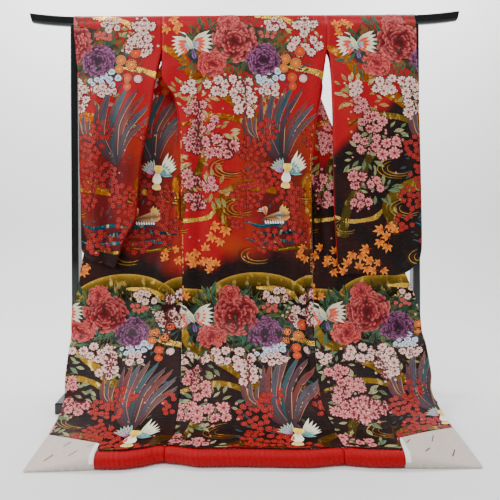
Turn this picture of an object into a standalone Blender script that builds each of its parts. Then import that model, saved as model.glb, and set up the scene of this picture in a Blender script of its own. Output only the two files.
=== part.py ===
"""A padded bridal over-kimono hung by its sleeves on a black lacquered kimono stand, seen from the back.

Metres, +Z up. The cloth's outer face looks along -Y, and the hem sweeps out that way as a short train.
Inside the functions a place is (across, forward, height): across is X, forward is the distance in front
of the stand's bar, along -Y. Drop is the distance down the cloth, counted so that drop = CLOTH_TOP - height
where the cloth hangs straight.
"""

import bisect
import math

import bmesh
import bpy
import numpy as np

# The stand
BAR_LENGTH = 1.670
BAR_HEIGHT = 0.038
BAR_DEPTH = 0.030
BAR_ROUND = 0.009
BAR_TOP = 1.473
BAR_RISE = 0.016
BAR_STRAIGHT_HALF = 0.600
BAR_END_SLANT = 0.005
BAR_STATIONS = 5
POST_OUTSIDE = 0.674
POST_WIDTH = 0.028
POST_DEPTH = 0.048
FOOT_LENGTH = 0.360
FOOT_WIDTH = 0.044
FOOT_HEIGHT = 0.040
STRETCHER_HEIGHT = 0.030
STRETCHER_DEPTH = 0.018
STRETCHER_MIDDLE = 0.150
EDGE_ROUND = 0.004

# The cloth
WALL = 0.002
COLLAR_WALL = 0.003
SEAM_GAP = 0.0003
CLOTH_TOP = 1.475
CLOTH_TO_BAR = 0.0015
HANG_FORWARD = 0.030
SHOULDER_LINE = 1.375
ARMHOLE = 0.318
ARMHOLE_DROP = 0.136
NECK_HALF = 0.088
COLLAR_WIDTH = 0.070
COLLAR_END_DROP = 0.800
COLLAR_PAST_EDGE = 0.002
COLLAR_PAST_AT_NECK = 0.035
COLLAR_COLUMNS = 5
COLLAR_WIDE_BY_DROP = (0.220, 0.100)
COLLAR_TO_CLOTH = 0.0006
COLLAR_OFFSET = WALL / 2 + COLLAR_WALL / 2 + COLLAR_TO_CLOTH
COLLAR_FROM_TURN = 0.004
NECK_TURN = 0.029
NECK_TURN_ACROSS = (0.035, 0.080)
NECK_LEAN = 0.08
NECK_ROWS = 4
NECK_COLUMNS = 11
WRIST_INSIDE = 0.644
JOINED_DROP = 0.290
TURN_ROOM = 0.001
TURN_ROOM_REACH = 0.160
SEAM_REACH = 0.050
HEM_PULL_START = 1.450
HEM_FLAT = 0.080
EDGE_SPREAD = 1.5
FOLD_FADE = 0.120
BACK_FOLDS_START = 0.030
BEHIND_BAR = 0.001
BAR_CREST_DROP = -0.011
BAR_CREST_REACH = 0.090
SAME_LEVEL = 1e-6

# The padded hem roll and the wrapped corners
ROLL_RADIUS = 0.0255
ROLL_MIDDLE = 0.0235
ROLL_SIDES = 11
ROLL_STEP = 0.035

# Across: where the back's side seams lie, by drop
SIDE_SEAM = {
    "left": (
        (0.136, 0.3180), (0.235, 0.3230), (0.320, 0.2680), (0.445, 0.2510), (0.915, 0.2460),
        (1.190, 0.2430), (1.500, 0.2220), (1.640, 0.2220), (1.733, 0.2350),
    ),
    "right": (
        (0.136, 0.3180), (0.253, 0.3000), (0.357, 0.2820), (0.488, 0.2600), (0.700, 0.2540),
        (1.190, 0.2580), (1.385, 0.2500), (1.500, 0.2500), (1.637, 0.2780), (1.733, 0.2850),
    ),
}

# Across: the free edge of each front, by drop
FREE_EDGE = {
    "left": (
        (0.100, 0.120), (0.175, 0.320), (0.255, 0.370), (0.375, 0.420), (0.575, 0.500), (0.775, 0.560),
        (0.915, 0.626), (1.051, 0.644), (1.109, 0.662), (1.185, 0.671), (1.281, 0.661), (1.391, 0.654),
        (1.471, 0.640), (1.529, 0.634), (1.647, 0.629),
    ),
    "right": (
        (0.100, 0.120), (0.175, 0.200), (0.285, 0.286), (0.395, 0.328), (0.575, 0.400), (0.775, 0.500),
        (1.016, 0.619), (1.109, 0.654), (1.172, 0.670), (1.281, 0.673), (1.391, 0.670), (1.440, 0.660),
        (1.529, 0.667), (1.613, 0.673), (1.647, 0.674),
    ),
}

# The way down the cloth from above the knee to the floor: forward, height
TRAIN_MIDDLE = (
    (0.032, 0.380), (0.042, 0.315), (0.070, 0.258), (0.125, 0.208), (0.200, 0.156), (0.295, 0.100),
    (0.380, 0.060), (0.430, 0.047), (0.480, 0.047), (0.520, 0.0505),
)
TRAIN_EDGE = (
    (0.032, 0.380), (0.033, 0.320), (0.040, 0.256), (0.083, 0.215), (0.116, 0.170), (0.147, 0.126),
    (0.197, 0.063), (0.250, 0.041), (0.332, 0.0215), (0.365, 0.0180),
)
TRAIN_START = 1.025
TRAIN_END = 1.738
TRAIN_EDGE_END = 1.647

# The hem's crest, where the patterned cloth ends on the roll: across, forward
HEM_CREST = (
    (-0.430, 0.528), (-0.364, 0.528), (-0.296, 0.514), (-0.248, 0.496), (-0.203, 0.502), (-0.129, 0.518),
    (-0.034, 0.518), (0.043, 0.520), (0.177, 0.525), (0.274, 0.514), (0.3675, 0.525), (0.455, 0.528),
)

# The upper edge of each wrapped corner: across, forward, height
CORNER_TOP = {
    "left": ((0.430, 0.486, 0.0490), (0.530, 0.428, 0.0360), (0.629, 0.365, 0.0180)),
    "right": ((0.455, 0.465, 0.0490), (0.560, 0.397, 0.0350), (0.674, 0.330, 0.0180)),
}
CORNER_TIP = {"left": (0.628, 0.553), "right": (0.674, 0.545)}
CORNER_TIP_HEIGHT = 0.008
CORNER_THINNING = 1.4
CORNER_CROWN = 0.6

# How a front lies beside and behind the back, by drop: how far its turn is out from the side seam,
# and how far the side edge, the inner layer and the outer layer are in front of the hanging cloth
FRONT_TURN = (
    (0.100, -0.228), (0.175, -0.175), (0.275, -0.100), (0.375, -0.040), (0.450, 0.000), (0.550, 0.020),
)
FRONT_SIDE = ((0.100, -0.0475), (0.220, -0.0475), (0.285, 0.0))
FRONT_INNER = (
    (0.100, -0.0475), (0.220, -0.048), (0.300, -0.034), (0.400, -0.024), (0.500, -0.018), (0.900, -0.014),
    (1.030, 0.000), (1.738, 0.000),
)
FRONT_OUTER = (
    (0.100, -0.074), (0.285, -0.070), (0.395, -0.052), (0.500, -0.034), (0.600, -0.028), (0.800, -0.024),
    (0.930, -0.012), (1.000, 0.002), (1.100, 0.003), (1.200, 0.000), (1.738, 0.000),
)
FRONT_BULGE = ((0.100, -0.010), (0.220, -0.006), (0.285, 0.006), (0.500, 0.006), (1.000, 0.005))
FRONT_INNER_STEPS = (0.40, 0.75)
FRONT_LAYER_STEPS = (0.40, 0.30)
STEPS_TO_CORNER = (0.25, 0.50, 0.75)
STEPS_PAST_CORNER = (0.20, 0.40, 0.60, 0.80, 1.00)
CORNER_KINK = 0.035

# A sleeve's edges, by drop: across. The left sleeve is pushed into folds, so it shows narrower.
SLEEVE_INSIDE = {
    "left": (
        (0.136, 0.3186), (0.250, 0.341), (0.365, 0.358), (0.625, 0.405), (0.775, 0.416), (0.850, 0.452),
        (0.907, 0.475), (0.971, 0.496),
    ),
    "right": ((0.136, 0.3186), (0.180, 0.328), (0.755, 0.338), (1.005, 0.351)),
}
SLEEVE_OUTSIDE = {
    "left": ((-0.011, 0.663), (0.160, 0.647), (0.257, 0.635), (0.527, 0.631), (0.930, 0.626)),
    "right": ((-0.011, 0.659), (0.500, 0.664), (0.850, 0.6686), (1.005, 0.6640)),
}
SLEEVE_BOTTOM = {"left": (0.975, 0.925), "right": (1.005, 1.005)}
SLEEVE_CORNER = {"left": 0.030, "right": 0.098}
SLEEVE_CORNER_WIDE = {"left": 0.25, "right": 0.33}
SLEEVE_BACK_LAYER = ((0.136, 0.000), (0.280, 0.020), (0.500, 0.032), (0.900, 0.037), (1.010, 0.037))
SLEEVE_FRONT_LAYER = (
    (0.100, -0.0475), (0.140, -0.042), (0.200, -0.018), (0.280, 0.004), (0.500, 0.015), (1.010, 0.017),
)
WRIST_CLOSED = (0.290, 0.370)
WRIST_PAST_POST = 0.050
WRIST_OVER_POST = 0.020
WRIST_OVER_REACH = 0.035
SLEEVE_EDGE_GAP = WALL + 0.0008
SLEEVE_CLOSING_SHARE = 0.15
SLEEVE_CLOSING_DROP = 0.080
SLEEVE_STEP_FADE = (0.060, 0.090)
SLEEVE_COLUMN_SPREAD = 1.2
SLEEVE_ROW_SPREAD = 0.9

# Soft folds: where, across at the top and at the bottom, from and to which drop, half width, depth
BACK_FOLDS = (
    (-0.285, -0.300, 0.150, 0.300, 0.034, 0.010),
    (-0.222, -0.215, 0.330, 1.600, 0.024, 0.009),
    (-0.180, -0.170, 0.300, 1.450, 0.020, -0.007),
    (-0.110, -0.130, 0.180, 1.500, 0.045, 0.006),
    (0.000, 0.010, 0.060, 1.600, 0.010, -0.0025),
    (0.095, 0.100, 0.180, 1.500, 0.050, 0.006),
    (0.200, 0.190, 0.360, 1.560, 0.026, 0.010),
    (0.232, 0.236, 0.560, 1.640, 0.012, -0.007),
    (0.285, 0.262, 0.150, 0.420, 0.020, 0.006),
    (-0.235, -0.235, 1.380, 1.780, 0.040, -0.010),
    (-0.080, -0.060, 1.250, 1.740, 0.060, 0.008),
    (0.130, 0.140, 1.250, 1.740, 0.050, 0.007),
)
FRONT_FOLDS = {
    "left": (
        (-0.300, -0.330, 0.420, 1.300, 0.020, 0.006),
        (-0.330, -0.420, 0.950, 1.640, 0.035, 0.007),
        (-0.440, -0.520, 1.000, 1.600, 0.030, -0.006),
        (-0.560, -0.570, 0.950, 1.500, 0.030, 0.006),
    ),
    "right": (
        (0.295, 0.320, 0.640, 1.300, 0.018, -0.006),
        (0.340, 0.400, 0.950, 1.640, 0.035, 0.007),
        (0.450, 0.500, 1.000, 1.600, 0.030, -0.006),
        (0.560, 0.580, 1.000, 1.500, 0.030, 0.006),
    ),
}
SLEEVE_FOLDS = {
    "left": (
        (-0.420, -0.470, 0.180, 1.050, 0.030, 0.010),
        (-0.490, -0.540, 0.260, 1.050, 0.022, -0.009),
        (-0.560, -0.570, 0.200, 1.050, 0.026, 0.007),
    ),
    "right": (
        (0.400, 0.380, 0.300, 1.050, 0.035, 0.006),
        (0.480, 0.450, 0.260, 1.050, 0.040, -0.006),
        (0.590, 0.600, 0.340, 1.050, 0.035, 0.005),
    ),
}
SLEEVE_STEP = ((0.620, 0.560), (0.795, 0.580), (0.930, 0.602))
SLEEVE_STEP_DEPTH = 0.010
SLEEVE_STEP_HALF = 0.012

# Rows and columns of the cloth's nets
HANG_DROPS = (0.180, 0.220, 0.260, 0.300, 0.350, 0.400, 0.450, 0.540, 0.660, 0.780, 0.870, 0.950)
TRAIN_ROWS = 13
BACK_COLUMNS = 19
SLEEVE_COLUMNS = 10
SLEEVE_ROWS = 12

SIGN = {"left": -1.0, "right": 1.0}

# Finish of each piece: colour, roughness, metallic
LACQUER = ((0.010, 0.010, 0.012), 0.16, 0.0)
PATTERNED_CLOTH = ((0.46, 0.02, 0.03), 0.55, 0.0)
RED_LINING = ((0.50, 0.01, 0.02), 0.60, 0.0)
WHITE_WRAP = ((0.72, 0.68, 0.70), 0.75, 0.0)


class Curve:
    """A smooth line through the rows of a two-column table, which never overshoots them."""

    def __init__(self, rows):
        self.at = [row[0] for row in rows]
        self.value = [row[1] for row in rows]
        spans = np.diff(self.at)
        rises = np.diff(self.value) / spans
        self.slope = [rises[0]]
        for low, high, before, after in zip(rises[:-1], rises[1:], spans[:-1], spans[1:]):
            if low * high <= 0:
                self.slope.append(0.0)
            else:
                near, far = 2 * after + before, after + 2 * before
                self.slope.append((near + far) / (near / low + far / high))
        self.slope.append(rises[-1])

    def __call__(self, at):
        if at <= self.at[0]:
            return self.value[0]
        if at >= self.at[-1]:
            return self.value[-1]
        i = bisect.bisect_right(self.at, at) - 1
        span = self.at[i + 1] - self.at[i]
        t = (at - self.at[i]) / span
        start = (1 + 2 * t) * (1 - t) ** 2
        end = t * t * (3 - 2 * t)
        leave = t * (1 - t) ** 2 * span
        arrive = t * t * (t - 1) * span
        held = start * self.value[i] + end * self.value[i + 1]
        return held + leave * self.slope[i] + arrive * self.slope[i + 1]


class Path:
    """A line down the cloth, seen from the side: forward and height by drop."""

    def __init__(self, points, drop_at_start):
        drop = [drop_at_start]
        for (f0, h0), (f1, h1) in zip(points[:-1], points[1:]):
            drop.append(drop[-1] + math.hypot(f1 - f0, h1 - h0))
        self.forward = Curve([(d, point[0]) for d, point in zip(drop, points)])
        self.height = Curve([(d, point[1]) for d, point in zip(drop, points)])
        self.start = drop[0]
        self.end = drop[-1]

    def place(self, drop, lift=0.0):
        """The point at this drop, moved out by lift from the cloth's face."""
        step = 0.004
        low = max(drop - step, self.start)
        high = min(drop + step, self.end)
        df = self.forward(high) - self.forward(low)
        dh = self.height(high) - self.height(low)
        size = math.hypot(df, dh)
        return np.array([self.forward(drop) - lift * dh / size, self.height(drop) + lift * df / size])


def ease(value):
    t = min(max(value, 0.0), 1.0)
    return t * t * (3 - 2 * t)


def over_bar_points():
    """The cloth's way from the shoulder line behind the bar, over it and down to the armhole's end."""
    half = BAR_DEPTH / 2 + CLOTH_TO_BAR
    radius = BAR_ROUND + CLOTH_TO_BAR
    centre = BAR_TOP - BAR_ROUND
    points = [(-half - BEHIND_BAR, SHOULDER_LINE), (-half, 1.420), (-half, centre)]
    for angle in (50, 90):
        turn = math.radians(angle)
        points.append((-(half - radius) - radius * math.cos(turn), centre + radius * math.sin(turn)))
    for angle in (90, 50, 0):
        turn = math.radians(angle)
        points.append(((half - radius) + radius * math.cos(turn), centre + radius * math.sin(turn)))
    points += [(0.0205, 1.450), (0.0268, 1.434), (0.0288, 1.410), (HANG_FORWARD, 1.370)]
    points.append((HANG_FORWARD, CLOTH_TOP - ARMHOLE_DROP))
    return points


def path_length(points):
    return sum(math.dist(a, b) for a, b in zip(points[:-1], points[1:]))


OVER_BAR = over_bar_points()
OVER_BAR_START = ARMHOLE_DROP - path_length(OVER_BAR)
STRAIGHT_HANG = ((HANG_FORWARD, 1.000), (HANG_FORWARD, 0.700), (HANG_FORWARD, CLOTH_TOP - TRAIN_START))
BODY_PATH = Path(OVER_BAR + list(STRAIGHT_HANG) + list(TRAIN_MIDDLE), OVER_BAR_START)
EDGE_PATH = Path([STRAIGHT_HANG[-1]] + list(TRAIN_EDGE), TRAIN_START)
SLEEVE_PATH = Path(OVER_BAR + [(HANG_FORWARD, CLOTH_TOP - 1.10)], OVER_BAR_START)

SEAM = {side: Curve(rows) for side, rows in SIDE_SEAM.items()}
FREE = {side: Curve(rows) for side, rows in FREE_EDGE.items()}
INSIDE = {side: Curve(rows) for side, rows in SLEEVE_INSIDE.items()}
OUTSIDE = {side: Curve(rows) for side, rows in SLEEVE_OUTSIDE.items()}
CREST = Curve(HEM_CREST)
TURN = Curve(FRONT_TURN)
SIDE_LIFT = Curve(FRONT_SIDE)
BULGE = Curve(FRONT_BULGE)
INNER_LIFT = Curve(FRONT_INNER)
OUTER_LIFT = Curve(FRONT_OUTER)
BACK_LAYER = Curve(SLEEVE_BACK_LAYER)
FRONT_LAYER = Curve(SLEEVE_FRONT_LAYER)
STEP_LINE = Curve(SLEEVE_STEP)
CORNER_FORWARD = {side: Curve([row[:2] for row in rows]) for side, rows in CORNER_TOP.items()}
CORNER_HEIGHT = {side: Curve([(row[0], row[2]) for row in rows]) for side, rows in CORNER_TOP.items()}


def folds_at(folds, across, drop):
    """How far the soft folds move the cloth out here."""
    lift = 0.0
    for top, bottom, start, end, half_width, depth in folds:
        share = min(max((drop - start) / (end - start), 0.0), 1.0)
        middle = top + (bottom - top) * share
        fade = ease((drop - start) / FOLD_FADE) * ease((end - drop) / FOLD_FADE)
        lift += depth * fade * math.exp(-(((across - middle) / half_width) ** 2))
    return lift


def new_material(name, finish):
    colour, roughness, metallic = finish
    material = bpy.data.materials.new(name)
    material.use_nodes = True
    shader = material.node_tree.nodes["Principled BSDF"]
    shader.inputs["Base Color"].default_value = (*colour, 1.0)
    shader.inputs["Roughness"].default_value = roughness
    shader.inputs["Metallic"].default_value = metallic
    return material


def add_object(name, mesh, finish):
    """Put a finished mesh into the scene, smooth but for its sharp edges."""
    mesh.materials.append(new_material(name, finish))
    mesh.shade_smooth()
    mesh.set_sharp_from_angle(angle=math.radians(40))
    piece = bpy.data.objects.new(name, mesh)
    bpy.context.scene.collection.objects.link(piece)
    return piece


def closed_mesh(name, vertices, faces):
    """A mesh whose faces all look out."""
    mesh = bpy.data.meshes.new(name)
    mesh.from_pydata([tuple(v) for v in vertices], [], faces)
    net = bmesh.new()
    net.from_mesh(mesh)
    bmesh.ops.recalc_face_normals(net, faces=net.faces)
    net.to_mesh(mesh)
    net.free()
    return mesh


def grid_faces(rows, columns, first=0):
    """The quads of a net of points laid out row by row."""
    faces = []
    for r in range(rows - 1):
        for c in range(columns - 1):
            corner = first + r * columns + c
            faces.append((corner, corner + 1, corner + columns + 1, corner + columns))
    return faces


def rim(rows, columns):
    """The outline of a net of points, once round."""
    top = [c for c in range(columns)]
    right = [r * columns + columns - 1 for r in range(1, rows)]
    bottom = [(rows - 1) * columns + c for c in range(columns - 2, -1, -1)]
    left = [r * columns for r in range(rows - 2, 0, -1)]
    return top + right + bottom + left


def join_nets(name, front, back, rows, columns, finish):
    """A closed piece between two nets of points with the same rows and columns."""
    count = rows * columns
    faces = grid_faces(rows, columns) + grid_faces(rows, columns, count)
    outline = rim(rows, columns)
    for a, b in zip(outline, outline[1:] + outline[:1]):
        faces.append((a, b, b + count, a + count))
    vertices = [(p[0], -p[1], p[2]) for p in np.concatenate([front.reshape(-1, 3), back.reshape(-1, 3)])]
    add_object(name, closed_mesh(name, vertices, faces), finish)


def out_directions(net, plain_sides=()):
    """The unit directions out of the cloth's outer face. Along a plain side they have no part across."""
    along = np.gradient(net, axis=1)
    down = np.gradient(net, axis=0)
    out = np.cross(down, along)
    for side in plain_sides:
        column = 0 if side == "start" else -1
        out[:, column, 0] = 0.0
    return out / np.linalg.norm(out, axis=2, keepdims=True)


def sheet(name, net, finish, wall=WALL, plain_sides=("start", "end")):
    """Cloth of an even wall, from the net of points along its middle."""
    net = np.array(net)
    out = out_directions(net, plain_sides)
    rows, columns = net.shape[:2]
    join_nets(name, net + out * wall / 2, net - out * wall / 2, rows, columns, finish)


def back_lift(across, drop):
    return folds_at(BACK_FOLDS, across, drop) * ease((drop - BACK_FOLDS_START) / FOLD_FADE)


def hem_point(across, side):
    """Where the patterned cloth ends: on the roll's crest, or at the wrapped corner."""
    start = CORNER_TOP[side][0][0]
    if abs(across) < start - 0.001:
        return np.array([CREST(across), ROLL_MIDDLE + ROLL_RADIUS + SEAM_GAP + WALL / 2])
    return np.array([CORNER_FORWARD[side](abs(across)) - SEAM_GAP, CORNER_HEIGHT[side](abs(across))])


def train_drops():
    return [TRAIN_START + (TRAIN_END - TRAIN_START) * i / (TRAIN_ROWS - 1) for i in range(TRAIN_ROWS)]


def body_point(across, drop, lift, side, edge_share=0.0):
    """A point of the back or of a front. edge_share goes from 0 at the side seam to 1 at the free edge."""

    def place(at, out):
        middle = BODY_PATH.place(min(at, BODY_PATH.end), out)
        if at <= TRAIN_START or edge_share <= 0:
            return middle
        share = (at - TRAIN_START) / (TRAIN_END - TRAIN_START)
        edge = EDGE_PATH.place(TRAIN_START + share * (EDGE_PATH.end - TRAIN_START), out)
        return middle + (edge - middle) * edge_share ** EDGE_SPREAD

    point = place(drop, lift)
    share = ease((drop - HEM_PULL_START) / (TRAIN_END - HEM_PULL_START))
    if share > 0:
        point = point + (hem_point(across, side) - place(TRAIN_END, 0.0)) * share
    return across, point[0], point[1]


def over_bar_drops():
    """The levels of the cloth's way over the bar, from the shoulder line to the armhole's end."""
    return [OVER_BAR_START + path_length(OVER_BAR[: i + 1]) for i in range(len(OVER_BAR))]


def make_back():
    net = []
    for drop in over_bar_drops() + list(HANG_DROPS) + train_drops():
        left = -SEAM["left"](drop) + SEAM_GAP / 2
        right = SEAM["right"](drop) - SEAM_GAP / 2
        row = []
        for c in range(BACK_COLUMNS):
            across = left + (right - left) * c / (BACK_COLUMNS - 1)
            lift = back_lift(across, drop) * ease((TRAIN_END - drop) / HEM_FLAT)
            row.append(body_point(across, drop, lift, "left" if across < 0 else "right"))
        net.append(row)
    sheet("back", net, PATTERNED_CLOTH)


def front_steps(side):
    """Shares of the way from a front's turn to its free edge, one of them at the wrapped corner's start."""
    turn = TURN(TRAIN_END)
    seam = SEAM[side](TRAIN_END) + SEAM_GAP / 2
    corner = (CORNER_TOP[side][0][0] - seam - turn) / (FREE[side](TRAIN_EDGE_END) - seam - turn)
    steps = [corner * step for step in STEPS_TO_CORNER] + [corner - CORNER_KINK, corner]
    return steps + [corner + (1 - corner) * step for step in STEPS_PAST_CORNER]


def front_row(side, drop):
    """One level of a front: from its side edge in to its turn, and out again to its free edge."""
    seam = SEAM[side](drop) + SEAM_GAP / 2 + TURN_ROOM * ease(1 - abs(drop - JOINED_DROP) / TURN_ROOM_REACH)
    share = max((drop - TRAIN_START) / (TRAIN_END - TRAIN_START), 0.0)
    free = FREE[side](TRAIN_START + share * (TRAIN_EDGE_END - TRAIN_START) if share > 0 else drop)
    turn = TURN(drop)
    side_lift, inner, outer = SIDE_LIFT(drop), INNER_LIFT(drop), OUTER_LIFT(drop)
    middle = (inner + outer) / 2
    near, far = FRONT_INNER_STEPS
    near_lift, far_lift = FRONT_LAYER_STEPS
    stations = [
        (0.0, side_lift),
        (BULGE(drop), side_lift + (inner - side_lift) * near_lift),
        (turn * near, inner),
        (turn * far, inner + (middle - inner) * far_lift),
        (turn, middle),
    ]
    reach = free - seam - turn
    stations += [(turn + reach * step, outer) for step in front_steps(side)]
    row = []
    for out, lift in stations:
        across = SIGN[side] * (seam + out)
        if drop > JOINED_DROP:
            lift += back_lift(SIGN[side] * seam, drop) * ease(1 - abs(out) / SEAM_REACH)
        if out > 0:
            lift += folds_at(FRONT_FOLDS[side], across, drop) * ease(out / SEAM_REACH)
        lift *= ease((TRAIN_END - drop) / HEM_FLAT)
        edge_share = max(out, 0.0) / (free - seam) if share > 0 else 0.0
        row.append(body_point(across, drop, lift, side, edge_share))
    return row


def front_net(side):
    drops = [CLOTH_TOP - SHOULDER_LINE + SEAM_GAP, ARMHOLE_DROP] + list(HANG_DROPS) + train_drops()
    return np.array([front_row(side, drop) for drop in drops])


def sleeve_bottom(side, share):
    """The drop of a sleeve's lower edge, with its rounded outer corner."""
    inside, outside = SLEEVE_BOTTOM[side]
    wide = SLEEVE_CORNER_WIDE[side]
    into_corner = min(max(share - (1 - wide), 0.0) / wide, 1.0)
    return inside + (outside - inside) * share - SLEEVE_CORNER[side] * (1 - math.sqrt(1 - into_corner ** 2))


def sleeve_lifts(side, share, drop, bottom, across):
    """How far out the sleeve's back and front halves lie here. They meet at the closed edges."""
    back, front = BACK_LAYER(drop), FRONT_LAYER(drop)
    closed = ease((drop - WRIST_CLOSED[0]) / (WRIST_CLOSED[1] - WRIST_CLOSED[0]))
    outer_share = 1 - closed * ease(1 - (1 - share) / SLEEVE_CLOSING_SHARE)
    lower_share = ease((bottom - drop) / SLEEVE_CLOSING_DROP)
    apart = SLEEVE_EDGE_GAP + (back - front - SLEEVE_EDGE_GAP) * min(outer_share, lower_share)
    middle = (back + front) / 2 + folds_at(SLEEVE_FOLDS[side], across, drop)
    if side == "left":
        beyond = (abs(across) - STEP_LINE(drop)) / SLEEVE_STEP_HALF
        before, after = SLEEVE_STEP_FADE
        started = ease((drop - SLEEVE_STEP[0][0] + before) / (before + after))
        middle -= SLEEVE_STEP_DEPTH * ease(beyond) * started
    return middle + apart / 2, middle - apart / 2


def sleeve_share(column):
    """Columns lie closer together towards the sleeve's outer edge."""
    return 1 - (1 - column / (SLEEVE_COLUMNS - 1)) ** SLEEVE_COLUMN_SPREAD


def sleeve_back_row(side, level):
    """One level of the half that comes over the bar. Below the armhole, level - ARMHOLE_DROP is a share."""
    row = []
    for c in range(SLEEVE_COLUMNS):
        share = sleeve_share(c)
        bottom = sleeve_bottom(side, share)
        hanging = level > ARMHOLE_DROP + SAME_LEVEL
        drop = ARMHOLE_DROP + (level - ARMHOLE_DROP) * (bottom - ARMHOLE_DROP) if hanging else level
        inside = INSIDE[side](drop) if hanging else ARMHOLE + SEAM_GAP / 2
        outside = OUTSIDE[side](drop)
        if drop < BAR_CREST_DROP:
            room = WRIST_OVER_POST * ease(1 - (BAR_CREST_DROP - drop) / WRIST_OVER_REACH)
            outside = min(outside, WRIST_INSIDE + room)
        across = SIGN[side] * (inside + (outside - inside) * share)
        if hanging:
            lift = sleeve_lifts(side, share, drop, bottom, across)[0]
            row.append((across, HANG_FORWARD + lift, CLOTH_TOP - drop))
        else:
            forward, height = SLEEVE_PATH.place(drop)
            near_crest = ease(1 - abs(drop - BAR_CREST_DROP) / BAR_CREST_REACH)
            row.append((across, forward, height + bar_rise(across) * near_crest))
    return row


def sleeve_front_row(side, level):
    """One level of the half that hangs from the shoulder line behind the bar."""
    row = []
    for c in range(SLEEVE_COLUMNS):
        share = sleeve_share(c)
        bottom = sleeve_bottom(side, share)
        hanging = level > ARMHOLE_DROP + SAME_LEVEL
        drop = ARMHOLE_DROP + (level - ARMHOLE_DROP) * (bottom - ARMHOLE_DROP) if hanging else level
        inside = INSIDE[side](drop) if hanging else ARMHOLE + SEAM_GAP * 1.5
        below_wrist = ease((drop - WRIST_CLOSED[0]) / (WRIST_CLOSED[1] - WRIST_CLOSED[0]))
        outside = min(OUTSIDE[side](drop), WRIST_INSIDE + WRIST_PAST_POST * below_wrist)
        across = SIGN[side] * (inside + (outside - inside) * share)
        lift = sleeve_lifts(side, share, drop, bottom, across)[1]
        row.append((across, HANG_FORWARD + lift, CLOTH_TOP - drop))
    return row


def make_sleeve(side):
    shares = [((i + 1) / SLEEVE_ROWS) ** SLEEVE_ROW_SPREAD for i in range(SLEEVE_ROWS)]
    hanging = [ARMHOLE_DROP + share for share in shares]
    back = [sleeve_back_row(side, level) for level in over_bar_drops() + hanging]
    sheet(f"sleeve_{side}_back", back, PATTERNED_CLOTH, plain_sides=("start",))
    top = CLOTH_TOP - SHOULDER_LINE + SEAM_GAP
    levels = [top, (top + ARMHOLE_DROP) / 2, ARMHOLE_DROP] + hanging
    front = [sleeve_front_row(side, level) for level in levels]
    sheet(f"sleeve_{side}_front", front, PATTERNED_CLOTH, plain_sides=("start",))


def make_side_collar(side, net):
    """A folded band on the lining side of a front, along its free edge, made from the front's own points."""
    out = out_directions(net, ("start",))
    rows = []
    for level, points in enumerate(net):
        drop = CLOTH_TOP - points[-1][2]
        if drop > COLLAR_END_DROP:
            break
        turn = len(points) - 1 - len(front_steps(side))
        reach = abs(points[-1][0] - points[turn][0])
        narrow, wide = COLLAR_WIDE_BY_DROP
        past = COLLAR_PAST_EDGE + COLLAR_PAST_AT_NECK * ease((narrow - drop) / (narrow - wide))
        inside = min(COLLAR_WIDTH - past, reach - COLLAR_FROM_TURN)
        outer = points[turn + 1:]
        order = np.argsort(np.abs(outer[:, 0]))
        at = np.abs(outer[order, 0])
        away = out[level][turn + 3] * -np.sign(out[level][turn + 3][1])
        row = []
        for c in range(COLLAR_COLUMNS):
            across = abs(points[-1][0]) + past - (inside + past) * c / (COLLAR_COLUMNS - 1)
            place = [np.interp(across, at, outer[order, k]) for k in range(3)]
            place[0] = SIGN[side] * across
            row.append(np.array(place) + away * COLLAR_OFFSET)
        rows.append(row)
    sheet(f"collar_{side}", rows, PATTERNED_CLOTH, wall=COLLAR_WALL, plain_sides=())


def make_neck_collar():
    """The band round the back of the neck. It hangs from the back's upper edge and turns out at its ends."""
    hang = -(BAR_DEPTH / 2 + CLOTH_TO_BAR + BEHIND_BAR)
    turn_start, turn_end = NECK_TURN_ACROSS
    rows = []
    for level in range(NECK_ROWS):
        down = COLLAR_WIDTH * level / (NECK_ROWS - 1)
        row = []
        for c in range(NECK_COLUMNS):
            across = -NECK_HALF + 2 * NECK_HALF * c / (NECK_COLUMNS - 1)
            back = hang - NECK_TURN * ease((abs(across) - turn_start) / (turn_end - turn_start))
            row.append((across, back - NECK_LEAN * down, SHOULDER_LINE - SEAM_GAP - down))
        rows.append(row)
    sheet("collar_neck", rows, PATTERNED_CLOTH, wall=COLLAR_WALL)


def make_roll(name, start, end):
    """A stretch of the padded hem roll: a round section with a flat underside, along the hem line."""
    count = max(round((end - start) / ROLL_STEP), 3)
    low = math.acos(ROLL_MIDDLE / ROLL_RADIUS)
    vertices = []
    for i in range(count + 1):
        across = start + (end - start) * i / count
        for k in range(ROLL_SIDES):
            angle = -math.pi / 2 + low + (2 * math.pi - 2 * low) * k / (ROLL_SIDES - 1)
            forward = CREST(across) + ROLL_RADIUS * math.cos(angle)
            height = max(ROLL_MIDDLE + ROLL_RADIUS * math.sin(angle), 0.0)
            vertices.append((across, -forward, height))
    faces = []
    for i in range(count):
        for k in range(ROLL_SIDES):
            a = i * ROLL_SIDES + k
            b = i * ROLL_SIDES + (k + 1) % ROLL_SIDES
            faces.append((a, b, b + ROLL_SIDES, a + ROLL_SIDES))
    faces.append(tuple(range(ROLL_SIDES)))
    faces.append(tuple(count * ROLL_SIDES + k for k in range(ROLL_SIDES)))
    add_object(name, closed_mesh(name, vertices, faces), RED_LINING)


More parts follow.
